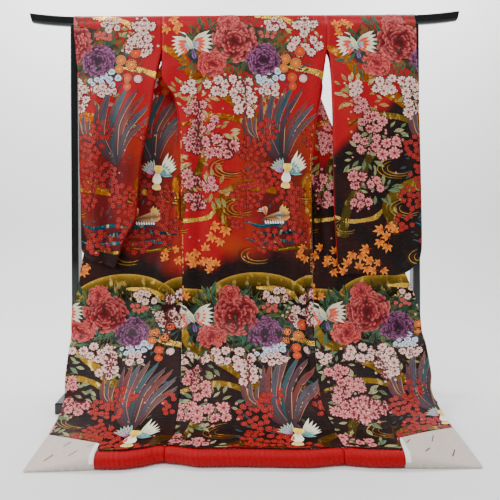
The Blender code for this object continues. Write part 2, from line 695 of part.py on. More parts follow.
def make_corner(side, net):
    """The white cloth wrapped round a hem corner: a flat-bottomed wedge from the front's last row on."""
    start = CORNER_TOP[side][0][0]
    tip_across, tip_forward = CORNER_TIP[side]
    first = len(net[-1]) - 1 - len(STEPS_PAST_CORNER)
    upper = net[-1][first:]
    top = []
    bottom = []
    for u, point in enumerate(upper):
        share = u / (len(upper) - 1)
        across = start + (tip_across - start) * share
        crest_front = CREST(SIGN[side] * start) + ROLL_RADIUS
        forward = crest_front + (tip_forward - crest_front) * ease(share)
        inner_height = ROLL_MIDDLE + ROLL_RADIUS + WALL / 2
        thick = inner_height + (CORNER_TIP_HEIGHT - inner_height) * (1 - (1 - share) ** CORNER_THINNING)
        nose = thick / 2
        back_edge = np.array([abs(point[0]), point[1] + WALL / 2, point[2] + WALL / 2])
        crest = np.array([across, forward - nose, thick])
        middle = (back_edge + crest) / 2
        low, high = sorted((back_edge[2], crest[2]))
        middle[2] = low + (high - low) * CORNER_CROWN
        column = [
            back_edge,
            middle,
            crest,
            np.array([across, forward - nose * (1 - math.sqrt(0.5)), nose * (1 + math.sqrt(0.5))]),
            np.array([across, forward, nose]),
        ]
        under = np.array([across, forward - nose * 0.5, 0.0])
        floor = np.array([back_edge[0], back_edge[1], 0.0])
        top.append(column)
        bottom.append([floor + (under - floor) * k / (len(column) - 1) for k in range(len(column))])
    top = np.array(top)
    bottom = np.array(bottom)
    top[..., 0] *= SIGN[side]
    bottom[..., 0] *= SIGN[side]
    rows, columns = top.shape[:2]
    join_nets(f"corner_{side}", top, bottom, rows, columns, WHITE_WRAP)


def bar_rise(across):
    """How far the bar's end has turned up here."""
    past = max(abs(across) - BAR_STRAIGHT_HALF, 0.0) / (BAR_LENGTH / 2 - BAR_STRAIGHT_HALF)
    return BAR_RISE * past ** 2


def make_bar():
    """The top bar: a rounded section that runs straight and turns up at both ends."""
    half = BAR_LENGTH / 2
    bend = half - BAR_STRAIGHT_HALF
    right = [BAR_STRAIGHT_HALF + bend * i / BAR_STATIONS for i in range(BAR_STATIONS + 1)]
    stations = [-x for x in reversed(right)] + [0.0] + right
    middle = BAR_TOP - BAR_HEIGHT / 2
    flat = (BAR_DEPTH / 2 - BAR_ROUND, BAR_HEIGHT / 2 - BAR_ROUND)
    section = []
    for quarter, (sign_f, sign_h) in enumerate(((1, 1), (-1, 1), (-1, -1), (1, -1))):
        for angle in (0, 45, 90):
            turn = math.radians(90 * quarter + angle)
            forward = sign_f * flat[0] + BAR_ROUND * math.cos(turn)
            section.append((forward, sign_h * flat[1] + BAR_ROUND * math.sin(turn)))
    vertices = []
    for across in stations:
        slant = BAR_END_SLANT * math.copysign(1.0, across) if abs(across) > half - 0.001 else 0.0
        for forward, height in section:
            x = across + slant * (2 * height / BAR_HEIGHT - 1)
            vertices.append((x, -forward, middle + height + bar_rise(across)))
    sides = len(section)
    faces = []
    for i in range(len(stations) - 1):
        for k in range(sides):
            a = i * sides + k
            b = i * sides + (k + 1) % sides
            faces.append((a, b, b + sides, a + sides))
    faces.append(tuple(range(sides)))
    faces.append(tuple((len(stations) - 1) * sides + k for k in range(sides)))
    add_object("top_bar", closed_mesh("top_bar", vertices, faces), LACQUER)


def make_block(name, low, high):
    """A lacquered wooden block with rounded edges, between two corners."""
    mesh = bpy.data.meshes.new(name)
    net = bmesh.new()
    bmesh.ops.create_cube(net, size=1.0)
    for vertex in net.verts:
        for axis in range(3):
            vertex.co[axis] = low[axis] if vertex.co[axis] < 0 else high[axis]
    net.to_mesh(mesh)
    net.free()
    block = add_object(name, mesh, LACQUER)
    bevel = block.modifiers.new("rounded edges", "BEVEL")
    bevel.width = EDGE_ROUND
    bevel.segments = 2


def make_stand():
    make_bar()
    post_top = BAR_TOP - BAR_HEIGHT + bar_rise(POST_OUTSIDE - POST_WIDTH) - SEAM_GAP
    inner = POST_OUTSIDE - POST_WIDTH
    for side, sign in SIGN.items():
        near, far = sorted((sign * inner, sign * POST_OUTSIDE))
        depth = POST_DEPTH / 2
        make_block(f"post_{side}", (near, -depth, FOOT_HEIGHT + SEAM_GAP), (far, depth, post_top))
        middle = sign * (POST_OUTSIDE - POST_WIDTH / 2)
        low = (middle - FOOT_WIDTH / 2, -FOOT_LENGTH / 2, 0.0)
        make_block(f"foot_{side}", low, (middle + FOOT_WIDTH / 2, FOOT_LENGTH / 2, FOOT_HEIGHT))
    low = (-inner + SEAM_GAP, -STRETCHER_DEPTH / 2, STRETCHER_MIDDLE - STRETCHER_HEIGHT / 2)
    make_block("stretcher", low, (-low[0], -low[1], STRETCHER_MIDDLE + STRETCHER_HEIGHT / 2))


def make_hem_roll():
    left, right = CORNER_TOP["left"][0][0], CORNER_TOP["right"][0][0]
    left_seam, right_seam = SEAM["left"](TRAIN_END), SEAM["right"](TRAIN_END)
    make_roll("hem_roll_left", -left + SEAM_GAP, -left_seam - SEAM_GAP / 2)
    make_roll("hem_roll_back", -left_seam + SEAM_GAP / 2, right_seam - SEAM_GAP / 2)
    make_roll("hem_roll_right", right_seam + SEAM_GAP / 2, right - SEAM_GAP)


def centre_on_floor():
    """Parent every piece to an empty that puts the origin under the middle of the whole part's box."""
    bpy.context.view_layer.update()
    pieces = list(bpy.data.objects)
    corners = np.array([tuple(v.co) for piece in pieces for v in piece.data.vertices])
    middle = (corners.min(axis=0) + corners.max(axis=0)) / 2
    placing = bpy.data.objects.new("kimono_on_stand", None)
    bpy.context.scene.collection.objects.link(placing)
    placing.location = (-middle[0], -middle[1], 0.0)
    for piece in pieces:
        piece.parent = placing


def main():
    for old in list(bpy.data.objects):
        bpy.data.objects.remove(old, do_unlink=True)
    make_stand()
    make_back()
    for side in SIGN:
        net = front_net(side)
        sheet(f"front_{side}", net, PATTERNED_CLOTH, plain_sides=("start",))
        make_side_collar(side, net)
        make_corner(side, net)
        make_sleeve(side)
    make_neck_collar()
    make_hem_roll()
    centre_on_floor()


main()
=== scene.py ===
"""The looks of a padded bridal over-kimono, hung by its sleeves on a black lacquered stand.

Metres, +Z up. Each piece of cloth is a fine net worked out from the same sizes as the solids: a place in it
is (across, forward, height), with forward counted from the stand's bar along -Y. The woven flowers are thin
floats of silk and gold that lie on that net, drawn in the cloth's own flat measures: across, and down from
the top of the bar. Lengths in a table under metres() are in millimetres, and all others in metres.
"""

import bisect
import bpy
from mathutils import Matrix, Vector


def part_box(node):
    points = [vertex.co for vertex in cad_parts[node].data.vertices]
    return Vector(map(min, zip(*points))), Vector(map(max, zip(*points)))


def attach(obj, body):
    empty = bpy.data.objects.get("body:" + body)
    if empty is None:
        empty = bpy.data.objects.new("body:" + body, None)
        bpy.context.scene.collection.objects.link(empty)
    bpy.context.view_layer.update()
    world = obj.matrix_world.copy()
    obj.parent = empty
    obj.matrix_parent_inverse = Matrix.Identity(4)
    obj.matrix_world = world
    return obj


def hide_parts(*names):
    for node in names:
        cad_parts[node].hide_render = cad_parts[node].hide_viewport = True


bl_info = {
    "name": "Kimono on its stand",
    "version": (1, 0, 0),
    "blender": (4, 5, 0),
    "location": "3D View > Sidebar > Kimono",
    "description": "Dresses the frame of a bridal over-kimono on its lacquered stand",
    "category": "Object",
}

from math import acos, atan2, cos, dist, exp, hypot, pi, radians, sin, sqrt

import bmesh
import bpy
import numpy as np


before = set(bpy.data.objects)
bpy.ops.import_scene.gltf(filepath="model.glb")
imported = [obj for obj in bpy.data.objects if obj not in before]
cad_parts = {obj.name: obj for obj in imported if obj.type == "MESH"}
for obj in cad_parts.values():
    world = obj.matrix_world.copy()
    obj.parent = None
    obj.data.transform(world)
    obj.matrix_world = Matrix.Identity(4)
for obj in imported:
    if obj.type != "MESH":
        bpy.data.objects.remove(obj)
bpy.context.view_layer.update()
BAR_LOW, BAR_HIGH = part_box("top_bar")
BAR_Y = (BAR_LOW[1] + BAR_HIGH[1]) / 2


def metres(lengths, *rows):
    """Rows of a table with their first columns, which are lengths in millimetres, in metres."""

    def metre(value):
        return tuple(metre(part) for part in value) if isinstance(value, tuple) else value / 1000

    return [(*(metre(value) for value in row[:lengths]), *row[lengths:]) for row in rows]


# Sizes that the cloth shares with the solids
BAR_LENGTH = 1.67
BAR_DEPTH = 0.03
BAR_ROUND = 0.009
BAR_TOP = 1.473
BAR_RISE = 0.016
BAR_STRAIGHT_HALF = 0.6
COLLAR_WALL = 0.003
SEAM_GAP = 0.0003
CLOTH_TOP = 1.475
CLOTH_TO_BAR = 0.0015
HANG_FORWARD = 0.03
SHOULDER_LINE = 1.375
ARMHOLE = 0.318
ARMHOLE_DROP = 0.136
NECK_HALF = 0.088
COLLAR_WIDTH = 0.07
COLLAR_END_DROP = 0.8
COLLAR_PAST_EDGE = 0.002
COLLAR_PAST_AT_NECK = 0.035
COLLAR_WIDE_BY_DROP = (0.22, 0.1)
COLLAR_FROM_TURN = 0.004
NECK_TURN = 0.029
NECK_TURN_ACROSS = (0.035, 0.08)
NECK_LEAN = 0.08
WRIST_INSIDE = 0.644
JOINED_DROP = 0.29
TURN_ROOM = 0.001
TURN_ROOM_REACH = 0.16
SEAM_REACH = 0.05
HEM_PULL_START = 1.45
HEM_FLAT = 0.08
EDGE_SPREAD = 1.5
FOLD_FADE = 0.12
BACK_FOLDS_START = 0.03
BEHIND_BAR = 0.001
BAR_CREST_DROP = -0.011
BAR_CREST_REACH = 0.09
ROLL_RADIUS = 0.0255
ROLL_MIDDLE = 0.0235

# How the cloth comes off the bar in front: forward, height
OFF_BAR = ((0.0205, 1.45), (0.0268, 1.434), (0.0288, 1.41), (HANG_FORWARD, 1.37))

# Across: where the back's side seams lie, by drop
SIDE_SEAM = {
    "left": metres(
        2, (136, 318), (235, 323), (320, 268), (445, 251), (915, 246), (1190, 243), (1500, 222),
        (1640, 222), (1733, 235),
    ),
    "right": metres(
        2, (136, 318), (253, 300), (357, 282), (488, 260), (700, 254), (1190, 258), (1385, 250),
        (1500, 250), (1637, 278), (1733, 285),
    ),
}

# Across: the free edge of each front, by drop
FREE_EDGE = {
    "left": metres(
        2, (100, 120), (175, 320), (255, 370), (375, 420), (575, 500), (775, 560), (915, 626), (1051, 644),
        (1109, 662), (1185, 671), (1281, 661), (1391, 654), (1471, 640), (1529, 634), (1647, 629),
    ),
    "right": metres(
        2, (100, 120), (175, 200), (285, 286), (395, 328), (575, 400), (775, 500), (1016, 619), (1109, 654),
        (1172, 670), (1281, 673), (1391, 670), (1440, 660), (1529, 667), (1613, 673), (1647, 674),
    ),
}

# The way down the cloth from above the knee to the floor: forward, height
TRAIN_MIDDLE = metres(
    2, (32, 380), (42, 315), (70, 258), (125, 208), (200, 156), (295, 100), (380, 60), (430, 47), (480, 47),
    (520, 50.5),
)
TRAIN_EDGE = metres(
    2, (32, 380), (33, 320), (40, 256), (83, 215), (116, 170), (147, 126), (197, 63), (250, 41),
    (332, 21.5), (365, 18),
)
TRAIN_START = 1.025
TRAIN_END = 1.738
TRAIN_EDGE_END = 1.647

# The hem's crest, where the patterned cloth ends on the roll: across, forward
HEM_CREST = metres(
    2, (-430, 528), (-364, 528), (-296, 514), (-248, 496), (-203, 502), (-129, 518), (-34, 518), (43, 520),
    (177, 525), (274, 514), (367.5, 525), (455, 528),
)

# The upper edge of each wrapped corner: across, forward, height
CORNER_TOP = {
    "left": metres(3, (430, 486, 49), (530, 428, 36), (629, 365, 18)),
    "right": metres(3, (455, 465, 49), (560, 397, 35), (674, 330, 18)),
}
CORNER_TIP = {"left": (0.628, 0.553), "right": (0.674, 0.545)}
CORNER_TIP_HEIGHT = 0.008
CORNER_THINNING = 1.4
CORNER_CROWN = 0.6

# How a front lies beside and behind the back, by drop: how far its turn is out from the side seam,
# and how far the side edge, the inner layer and the outer layer are in front of the hanging cloth
FRONT_TURN = metres(2, (100, -228), (175, -175), (275, -100), (375, -40), (450, 0), (550, 20))
FRONT_SIDE = metres(2, (100, -47.5), (220, -47.5), (285, 0))
FRONT_INNER = metres(
    2, (100, -47.5), (220, -48), (300, -34), (400, -24), (500, -18), (900, -14), (1030, 0), (1738, 0),
)
FRONT_OUTER = metres(
    2, (100, -74), (285, -70), (395, -52), (500, -34), (600, -28), (800, -24), (930, -12), (1000, 2),
    (1100, 3), (1200, 0), (1738, 0),
)
FRONT_BULGE = metres(2, (100, -10), (220, -6), (285, 6), (500, 6), (1000, 5))
FRONT_INNER_STEPS = (0.4, 0.75)
FRONT_LAYER_STEPS = (0.4, 0.3)

# A sleeve's edges, by drop: across. The left sleeve is pushed into folds, so it shows narrower.
SLEEVE_INSIDE = {
    "left": metres(
        2, (136, 318.6), (250, 341), (365, 358), (625, 405), (775, 416), (850, 452), (907, 475), (971, 496),
    ),
    "right": metres(2, (136, 318.6), (180, 328), (755, 338), (1005, 351)),
}
SLEEVE_OUTSIDE = {
    "left": metres(2, (-11, 663), (160, 647), (257, 635), (527, 631), (930, 626)),
    "right": metres(2, (-11, 659), (500, 664), (850, 668.6), (1005, 664)),
}
SLEEVE_BOTTOM = {"left": (0.975, 0.925), "right": (1.005, 1.005)}
SLEEVE_CORNER = {"left": 0.03, "right": 0.098}
SLEEVE_CORNER_WIDE = {"left": 0.25, "right": 0.33}
SLEEVE_BACK_LAYER = metres(2, (136, 0), (280, 20), (500, 32), (900, 37), (1010, 37))
SLEEVE_FRONT_LAYER = metres(2, (100, -47.5), (140, -42), (200, -18), (280, 4), (500, 15), (1010, 17))
WRIST_CLOSED = (0.29, 0.37)
WRIST_PAST_POST = 0.05
WRIST_OVER_POST = 0.02
WRIST_OVER_REACH = 0.035
SLEEVE_EDGE_GAP = 0.0028
SLEEVE_CLOSING_SHARE = 0.15
SLEEVE_CLOSING_DROP = 0.08
SLEEVE_STEP_FADE = (0.06, 0.09)

# Soft folds: where, across at the top and at the bottom, from and to which drop, half width, depth
BACK_FOLDS = metres(
    6, (-285, -300, 150, 300, 34, 10), (-222, -215, 330, 1600, 24, 9), (-180, -170, 300, 1450, 20, -7),
    (-110, -130, 180, 1500, 45, 6), (0, 10, 60, 1600, 10, -2.5), (95, 100, 180, 1500, 50, 6),
    (200, 190, 360, 1560, 26, 10), (232, 236, 560, 1640, 12, -7), (285, 262, 150, 420, 20, 6),
    (-235, -235, 1380, 1780, 40, -10), (-80, -60, 1250, 1740, 60, 8), (130, 140, 1250, 1740, 50, 7),
)
FRONT_FOLDS = {
    "left": metres(
        6, (-300, -330, 420, 1300, 20, 6), (-330, -420, 950, 1640, 35, 7), (-440, -520, 1000, 1600, 30, -6),
        (-560, -570, 950, 1500, 30, 6),
    ),
    "right": metres(
        6, (295, 320, 640, 1300, 18, -6), (340, 400, 950, 1640, 35, 7), (450, 500, 1000, 1600, 30, -6),
        (560, 580, 1000, 1500, 30, 6),
    ),
}
SLEEVE_FOLDS = {
    "left": metres(
        6, (-420, -470, 180, 1050, 30, 10), (-490, -540, 260, 1050, 22, -9), (-560, -570, 200, 1050, 26, 7),
    ),
    "right": metres(
        6, (400, 380, 300, 1050, 35, 6), (480, 450, 260, 1050, 40, -6), (590, 600, 340, 1050, 35, 5),
    ),
}
SLEEVE_STEP = metres(2, (620, 560), (795, 580), (930, 602))
SLEEVE_STEP_DEPTH = 0.01
SLEEVE_STEP_HALF = 0.012

SIGN = {"left": -1.0, "right": 1.0}

# Rows and columns of the fine nets
OVER_BAR_PARTS = 3
HANG_STEP = 0.011
TRAIN_STEP = 0.01
BACK_COLUMNS = 65
FRONT_STEPS = 45
TURN_COLUMN = 4
SLEEVE_COLUMNS = 41
SLEEVE_ROWS = 76
SLEEVE_CROWDING = 1.2
SLEEVE_ROW_CROWDING = 0.9
SLEEVE_TOP_ROWS = 5
FRONT_LEVEL_BEHIND = 0.118
SHORT_STEP = 0.012
TURN_ROUND = 0.012
CORNER_SLIP = 0.001

# The slack of padded silk: its two depths, then by drop where it starts and how soon it is full
SLACK_LONG = 0.0011
SLACK_SHORT = 0.0007
SLACK_ON_BACK = (0.05, 0.1)
SLACK_ON_FRONT = (0.45, 0.15)
SLACK_ON_SLEEVE = (0.2, 0.2)
SLACK_COLUMNS = 8


def linear(hex_colour):
    """An sRGB hex colour as linear red, green and blue."""
    values = [int(hex_colour[i : i + 2], 16) / 255 for i in (1, 3, 5)]
    return tuple(v / 12.92 if v <= 0.04045 else ((v + 0.055) / 1.055) ** 2.4 for v in values)


class Curve:
    """A smooth line through the rows of a two-column table, which never overshoots them."""

    def __init__(self, rows):
        self.at = [row[0] for row in rows]
        self.value = [row[1] for row in rows]
        spans = np.diff(self.at)
        rises = np.diff(self.value) / spans
        self.slope = [rises[0]]
        for low, high, before, after in zip(rises[:-1], rises[1:], spans[:-1], spans[1:]):
            if low * high <= 0:
                self.slope.append(0.0)
            else:
                near, far = 2 * after + before, after + 2 * before
                self.slope.append((near + far) / (near / low + far / high))
        self.slope.append(rises[-1])

    def __call__(self, at):
        if at <= self.at[0]:
            return self.value[0]
        if at >= self.at[-1]:
            return self.value[-1]
        i = bisect.bisect_right(self.at, at) - 1
        span = self.at[i + 1] - self.at[i]
        t = (at - self.at[i]) / span
        held = (1 + 2 * t) * (1 - t) ** 2 * self.value[i] + t * t * (3 - 2 * t) * self.value[i + 1]
        return held + span * (t * (1 - t) ** 2 * self.slope[i] + t * t * (t - 1) * self.slope[i + 1])


class Path:
    """A line down the cloth, seen from the side: forward and height by drop."""

    def __init__(self, points, drop_at_start):
        drop = [drop_at_start]
        for (f0, h0), (f1, h1) in zip(points[:-1], points[1:]):
            drop.append(drop[-1] + hypot(f1 - f0, h1 - h0))
        self.forward = Curve([(d, point[0]) for d, point in zip(drop, points)])
        self.height = Curve([(d, point[1]) for d, point in zip(drop, points)])
        self.start = drop[0]
        self.end = drop[-1]

    def place(self, drop, lift=0.0):
        """The point at this drop, moved out by lift from the cloth's face."""
        step = 0.004
        low = max(drop - step, self.start)
        high = min(drop + step, self.end)
        df = self.forward(high) - self.forward(low)
        dh = self.height(high) - self.height(low)
        size = hypot(df, dh)
        return np.array([self.forward(drop) - lift * dh / size, self.height(drop) + lift * df / size])


def wall():
    """The cloth's thickness, as set in the sidebar."""
    return bpy.context.scene.kimono_sizes.wall


def ease(value):
    """Rises smoothly from 0 to 1 as value does, and stays level beyond."""
    t = min(max(value, 0.0), 1.0)
    return t * t * (3 - 2 * t)


def grown(drop, span):
    """From 0 to 1 over a span, which is where it starts and how long it is."""
    return ease((drop - span[0]) / span[1])


def over_bar_points():
    """The cloth's way from the shoulder line behind the bar, over it and down to the armhole's end."""
    half = BAR_DEPTH / 2 + CLOTH_TO_BAR
    radius = BAR_ROUND + CLOTH_TO_BAR
    centre = BAR_TOP - BAR_ROUND
    points = [(-half - BEHIND_BAR, SHOULDER_LINE), (-half, 1.42), (-half, centre)]
    for angle in (50, 90):
        turn = radians(angle)
        points.append((-(half - radius) - radius * cos(turn), centre + radius * sin(turn)))
    for angle in (90, 50, 0):
        turn = radians(angle)
        points.append(((half - radius) + radius * cos(turn), centre + radius * sin(turn)))
    points += list(OFF_BAR)
    points.append((HANG_FORWARD, CLOTH_TOP - ARMHOLE_DROP))
    return points


def path_length(points):
    """The length of a line through these points."""
    return sum(dist(a, b) for a, b in zip(points[:-1], points[1:]))


OVER_BAR = over_bar_points()
OVER_BAR_START = ARMHOLE_DROP - path_length(OVER_BAR)
STRAIGHT_HANG = ((HANG_FORWARD, 1.0), (HANG_FORWARD, 0.7), (HANG_FORWARD, CLOTH_TOP - TRAIN_START))
BODY_PATH = Path(OVER_BAR + list(STRAIGHT_HANG) + list(TRAIN_MIDDLE), OVER_BAR_START)
EDGE_PATH = Path([STRAIGHT_HANG[-1]] + list(TRAIN_EDGE), TRAIN_START)
SLEEVE_PATH = Path(OVER_BAR + [(HANG_FORWARD, CLOTH_TOP - 1.1)], OVER_BAR_START)
SEAM = {side: Curve(rows) for side, rows in SIDE_SEAM.items()}
FREE = {side: Curve(rows) for side, rows in FREE_EDGE.items()}
INSIDE = {side: Curve(rows) for side, rows in SLEEVE_INSIDE.items()}
OUTSIDE = {side: Curve(rows) for side, rows in SLEEVE_OUTSIDE.items()}
CREST = Curve(HEM_CREST)
TURN = Curve(FRONT_TURN)
SIDE_LIFT = Curve(FRONT_SIDE)
BULGE = Curve(FRONT_BULGE)
INNER_LIFT = Curve(FRONT_INNER)
OUTER_LIFT = Curve(FRONT_OUTER)
BACK_LAYER = Curve(SLEEVE_BACK_LAYER)
FRONT_LAYER = Curve(SLEEVE_FRONT_LAYER)
STEP_LINE = Curve(SLEEVE_STEP)
CORNER_FORWARD = {side: Curve([row[:2] for row in rows]) for side, rows in CORNER_TOP.items()}
CORNER_HEIGHT = {side: Curve([(row[0], row[2]) for row in rows]) for side, rows in CORNER_TOP.items()}


def folds_at(folds, across, drop):
    """How far the soft folds move the cloth out here."""
    lift = 0.0
    for top, bottom, start, end, half_width, depth in folds:
        share = min(max((drop - start) / (end - start), 0.0), 1.0)
        middle = top + (bottom - top) * share
        fade = ease((drop - start) / FOLD_FADE) * ease((end - drop) / FOLD_FADE)
        lift += depth * fade * exp(-(((across - middle) / half_width) ** 2))
    return lift


def slack(across, drop):
    """The slight unevenness of padded silk, which makes the gold threads glint here and there."""
    wave = sin(across * 61 + 2.0 * sin(drop * 7)) * sin(drop * 9 + across * 4)
    return SLACK_LONG * wave + SLACK_SHORT * sin(across * 23 - drop * 17 + 1.3)


def back_lift(across, drop):
    """The back's folds, which start below the bar."""
    return folds_at(BACK_FOLDS, across, drop) * ease((drop - BACK_FOLDS_START) / FOLD_FADE)


def hem_point(across, side):
    """Where the patterned cloth ends: on the roll's crest, or at the wrapped corner."""
    start = CORNER_TOP[side][0][0]
    if abs(across) < start - CORNER_SLIP:
        return np.array([CREST(across), ROLL_MIDDLE + ROLL_RADIUS + SEAM_GAP + wall() / 2])
    return np.array([CORNER_FORWARD[side](abs(across)) - SEAM_GAP, CORNER_HEIGHT[side](abs(across))])


def body_point(across, drop, lift, side, edge_share=0.0):
    """A point of the back or of a front. edge_share goes from 0 at the side seam to 1 at the free edge."""

    def place(at, out):
        middle = BODY_PATH.place(min(at, BODY_PATH.end), out)
        if at <= TRAIN_START or edge_share <= 0:
            return middle
        share = (at - TRAIN_START) / (TRAIN_END - TRAIN_START)
        edge = EDGE_PATH.place(TRAIN_START + share * (EDGE_PATH.end - TRAIN_START), out)
        return middle + (edge - middle) * edge_share ** EDGE_SPREAD

    point = place(drop, lift)
    share = ease((drop - HEM_PULL_START) / (TRAIN_END - HEM_PULL_START))
    if share > 0:
        point = point + (hem_point(across, side) - place(TRAIN_END, 0.0)) * share
    return across, point[0], point[1]


def over_bar_drops():
    """The levels of the cloth's way over the bar, with steps between the bends."""
    coarse = [OVER_BAR_START + path_length(OVER_BAR[: i + 1]) for i in range(len(OVER_BAR))]
    fine = []
    for low, high in zip(coarse[:-1], coarse[1:]):
        parts = OVER_BAR_PARTS if high - low > SHORT_STEP else 1
        fine += [low + (high - low) * i / parts for i in range(parts)]
    return fine + [coarse[-1]]


def hanging_drops(start):
    """Levels from start to the hem."""
    hang = list(np.linspace(start, TRAIN_START, max(round((TRAIN_START - start) / HANG_STEP), 2) + 1))
    train = list(np.linspace(TRAIN_START, TRAIN_END, round((TRAIN_END - TRAIN_START) / TRAIN_STEP) + 1))
    return hang[1:] + train[1:]


def back_net():
    """The middle of the back's wall, level by level from one side seam to the other."""
    net = []
    drops = over_bar_drops() + hanging_drops(ARMHOLE_DROP)
    for drop in drops:
        left = -SEAM["left"](drop) + SEAM_GAP / 2
        right = SEAM["right"](drop) - SEAM_GAP / 2
        row = []
        for c in range(BACK_COLUMNS):
            across = left + (right - left) * c / (BACK_COLUMNS - 1)
            from_edge = min(across - left, right - across)
            lift = back_lift(across, drop) * ease((TRAIN_END - drop) / HEM_FLAT)
            lift += slack(across, drop) * ease(from_edge / SEAM_REACH) * grown(drop, SLACK_ON_BACK)
            row.append(body_point(across, drop, lift, "left" if across < 0 else "right"))
        net.append(row)
    return np.array(net), np.array(drops)


def front_row(side, drop):
    """One level of a front: from its side edge in to its turn, and out again to its free edge."""
    seam = SEAM[side](drop) + SEAM_GAP / 2 + TURN_ROOM * ease(1 - abs(drop - JOINED_DROP) / TURN_ROOM_REACH)
    share = max((drop - TRAIN_START) / (TRAIN_END - TRAIN_START), 0.0)
    free = FREE[side](TRAIN_START + share * (TRAIN_EDGE_END - TRAIN_START) if share > 0 else drop)
    turn = TURN(drop)
    side_lift, inner, outer = SIDE_LIFT(drop), INNER_LIFT(drop), OUTER_LIFT(drop)
    middle = (inner + outer) / 2
    near, far = FRONT_INNER_STEPS
    near_lift, far_lift = FRONT_LAYER_STEPS
    stations = [
        (0.0, side_lift),
        (BULGE(drop), side_lift + (inner - side_lift) * near_lift),
        (turn * near, inner),
        (turn * far, inner + (middle - inner) * far_lift),
        (turn, middle),
    ]
    reach = free - seam - turn
    for k in range(FRONT_STEPS):
        step = (k + 1) / FRONT_STEPS
        near_turn = ease(step * reach / TURN_ROUND)
        stations.append((turn + reach * step, middle + (outer - middle) * near_turn))
    row = []
    for k, (out, lift) in enumerate(stations):
        across = SIGN[side] * (seam + out)
        if drop > JOINED_DROP:
            lift += back_lift(SIGN[side] * seam, drop) * ease(1 - abs(out) / SEAM_REACH)
        if out > 0:
            lift += folds_at(FRONT_FOLDS[side], across, drop) * ease(out / SEAM_REACH)
            loose = ease((k - TURN_COLUMN - 1) / SLACK_COLUMNS)
            lift += slack(across, drop) * loose * grown(drop, SLACK_ON_FRONT)
        lift *= ease((TRAIN_END - drop) / HEM_FLAT)
        edge_share = max(out, 0.0) / (free - seam) if share > 0 else 0.0
        row.append(body_point(across, drop, lift, side, edge_share))
    return row


def front_net(side):
    """The middle of a front's wall, level by level from the shoulder line behind the bar."""
    top = [CLOTH_TOP - SHOULDER_LINE + SEAM_GAP, FRONT_LEVEL_BEHIND, ARMHOLE_DROP]
    drops = top + hanging_drops(ARMHOLE_DROP)
    return np.array([front_row(side, drop) for drop in drops]), np.array(drops)


def sleeve_bottom(side, share):
    """The drop of a sleeve's lower edge, with its rounded outer corner. Takes one share or an array."""
    inside, outside = SLEEVE_BOTTOM[side]
    wide = SLEEVE_CORNER_WIDE[side]
    into_corner = np.clip((share - (1 - wide)) / wide, 0.0, 1.0)
    return inside + (outside - inside) * share - SLEEVE_CORNER[side] * (1 - np.sqrt(1 - into_corner ** 2))


def below_wrist(drop):
    """0 beside the wrist's opening, and 1 below it, where the sleeve's outer edge is closed."""
    start, end = WRIST_CLOSED
    return ease((drop - start) / (end - start))


def sleeve_lifts(side, share, drop, bottom, across):
    """How far out the sleeve's back and front halves lie here. They meet at the closed edges."""
    back, front = BACK_LAYER(drop), FRONT_LAYER(drop)
    outer_share = 1 - below_wrist(drop) * ease(1 - (1 - share) / SLEEVE_CLOSING_SHARE)
    lower_share = ease((bottom - drop) / SLEEVE_CLOSING_DROP)
    apart = SLEEVE_EDGE_GAP + (back - front - SLEEVE_EDGE_GAP) * min(outer_share, lower_share)
    middle = (back + front) / 2 + folds_at(SLEEVE_FOLDS[side], across, drop)
    middle += slack(across, drop) * grown(drop, SLACK_ON_SLEEVE)
    if side == "left":
        beyond = (abs(across) - STEP_LINE(drop)) / SLEEVE_STEP_HALF
        before, after = SLEEVE_STEP_FADE
        started = ease((drop - SLEEVE_STEP[0][0] + before) / (before + after))
        middle -= SLEEVE_STEP_DEPTH * ease(beyond) * started
    return middle + apart / 2, middle - apart / 2


def bar_rise(across):
    """How far the bar's end has turned up here."""
    past = max(abs(across) - BAR_STRAIGHT_HALF, 0.0) / (BAR_LENGTH / 2 - BAR_STRAIGHT_HALF)
    return BAR_RISE * past ** 2


def sleeve_net(side, half):
    """A sleeve's back half, which comes over the bar, or its front half from the shoulder line behind it."""
    if half == "back":
        levels = over_bar_drops()
    else:
        levels = list(np.linspace(CLOTH_TOP - SHOULDER_LINE + SEAM_GAP, ARMHOLE_DROP, SLEEVE_TOP_ROWS))
    shares = [((i + 1) / SLEEVE_ROWS) ** SLEEVE_ROW_CROWDING for i in range(SLEEVE_ROWS)]
    levels = levels + [ARMHOLE_DROP + share for share in shares]
    net = []
    for level in levels:
        hanging = level > ARMHOLE_DROP + 1e-6
        row = []
        for c in range(SLEEVE_COLUMNS):
            share = 1 - (1 - c / (SLEEVE_COLUMNS - 1)) ** SLEEVE_CROWDING
            bottom = float(sleeve_bottom(side, share))
            drop = ARMHOLE_DROP + (level - ARMHOLE_DROP) * (bottom - ARMHOLE_DROP) if hanging else level
            row.append(sleeve_point(side, half, share, drop, bottom, hanging))
        net.append(row)
    return np.array(net), np.array(levels)


def sleeve_point(side, half, share, drop, bottom, hanging):
    """A point of a sleeve: share goes from 0 at its inner edge to 1 at its outer edge."""
    inside = INSIDE[side](drop) if hanging else ARMHOLE + SEAM_GAP * (0.5 if half == "back" else 1.5)
    outside = OUTSIDE[side](drop)
    if half == "front":
        outside = min(outside, WRIST_INSIDE + WRIST_PAST_POST * below_wrist(drop))
    elif drop < BAR_CREST_DROP:
        room = WRIST_OVER_POST * ease(1 - (BAR_CREST_DROP - drop) / WRIST_OVER_REACH)
        outside = min(outside, WRIST_INSIDE + room)
    across = SIGN[side] * (inside + (outside - inside) * share)
    if hanging or half == "front":
        lift = sleeve_lifts(side, share, drop, bottom, across)[0 if half == "back" else 1]
        return across, HANG_FORWARD + lift, CLOTH_TOP - drop
    forward, height = SLEEVE_PATH.place(drop)
    near_crest = ease(1 - abs(drop - BAR_CREST_DROP) / BAR_CREST_REACH)
    return across, forward, height + bar_rise(across) * near_crest


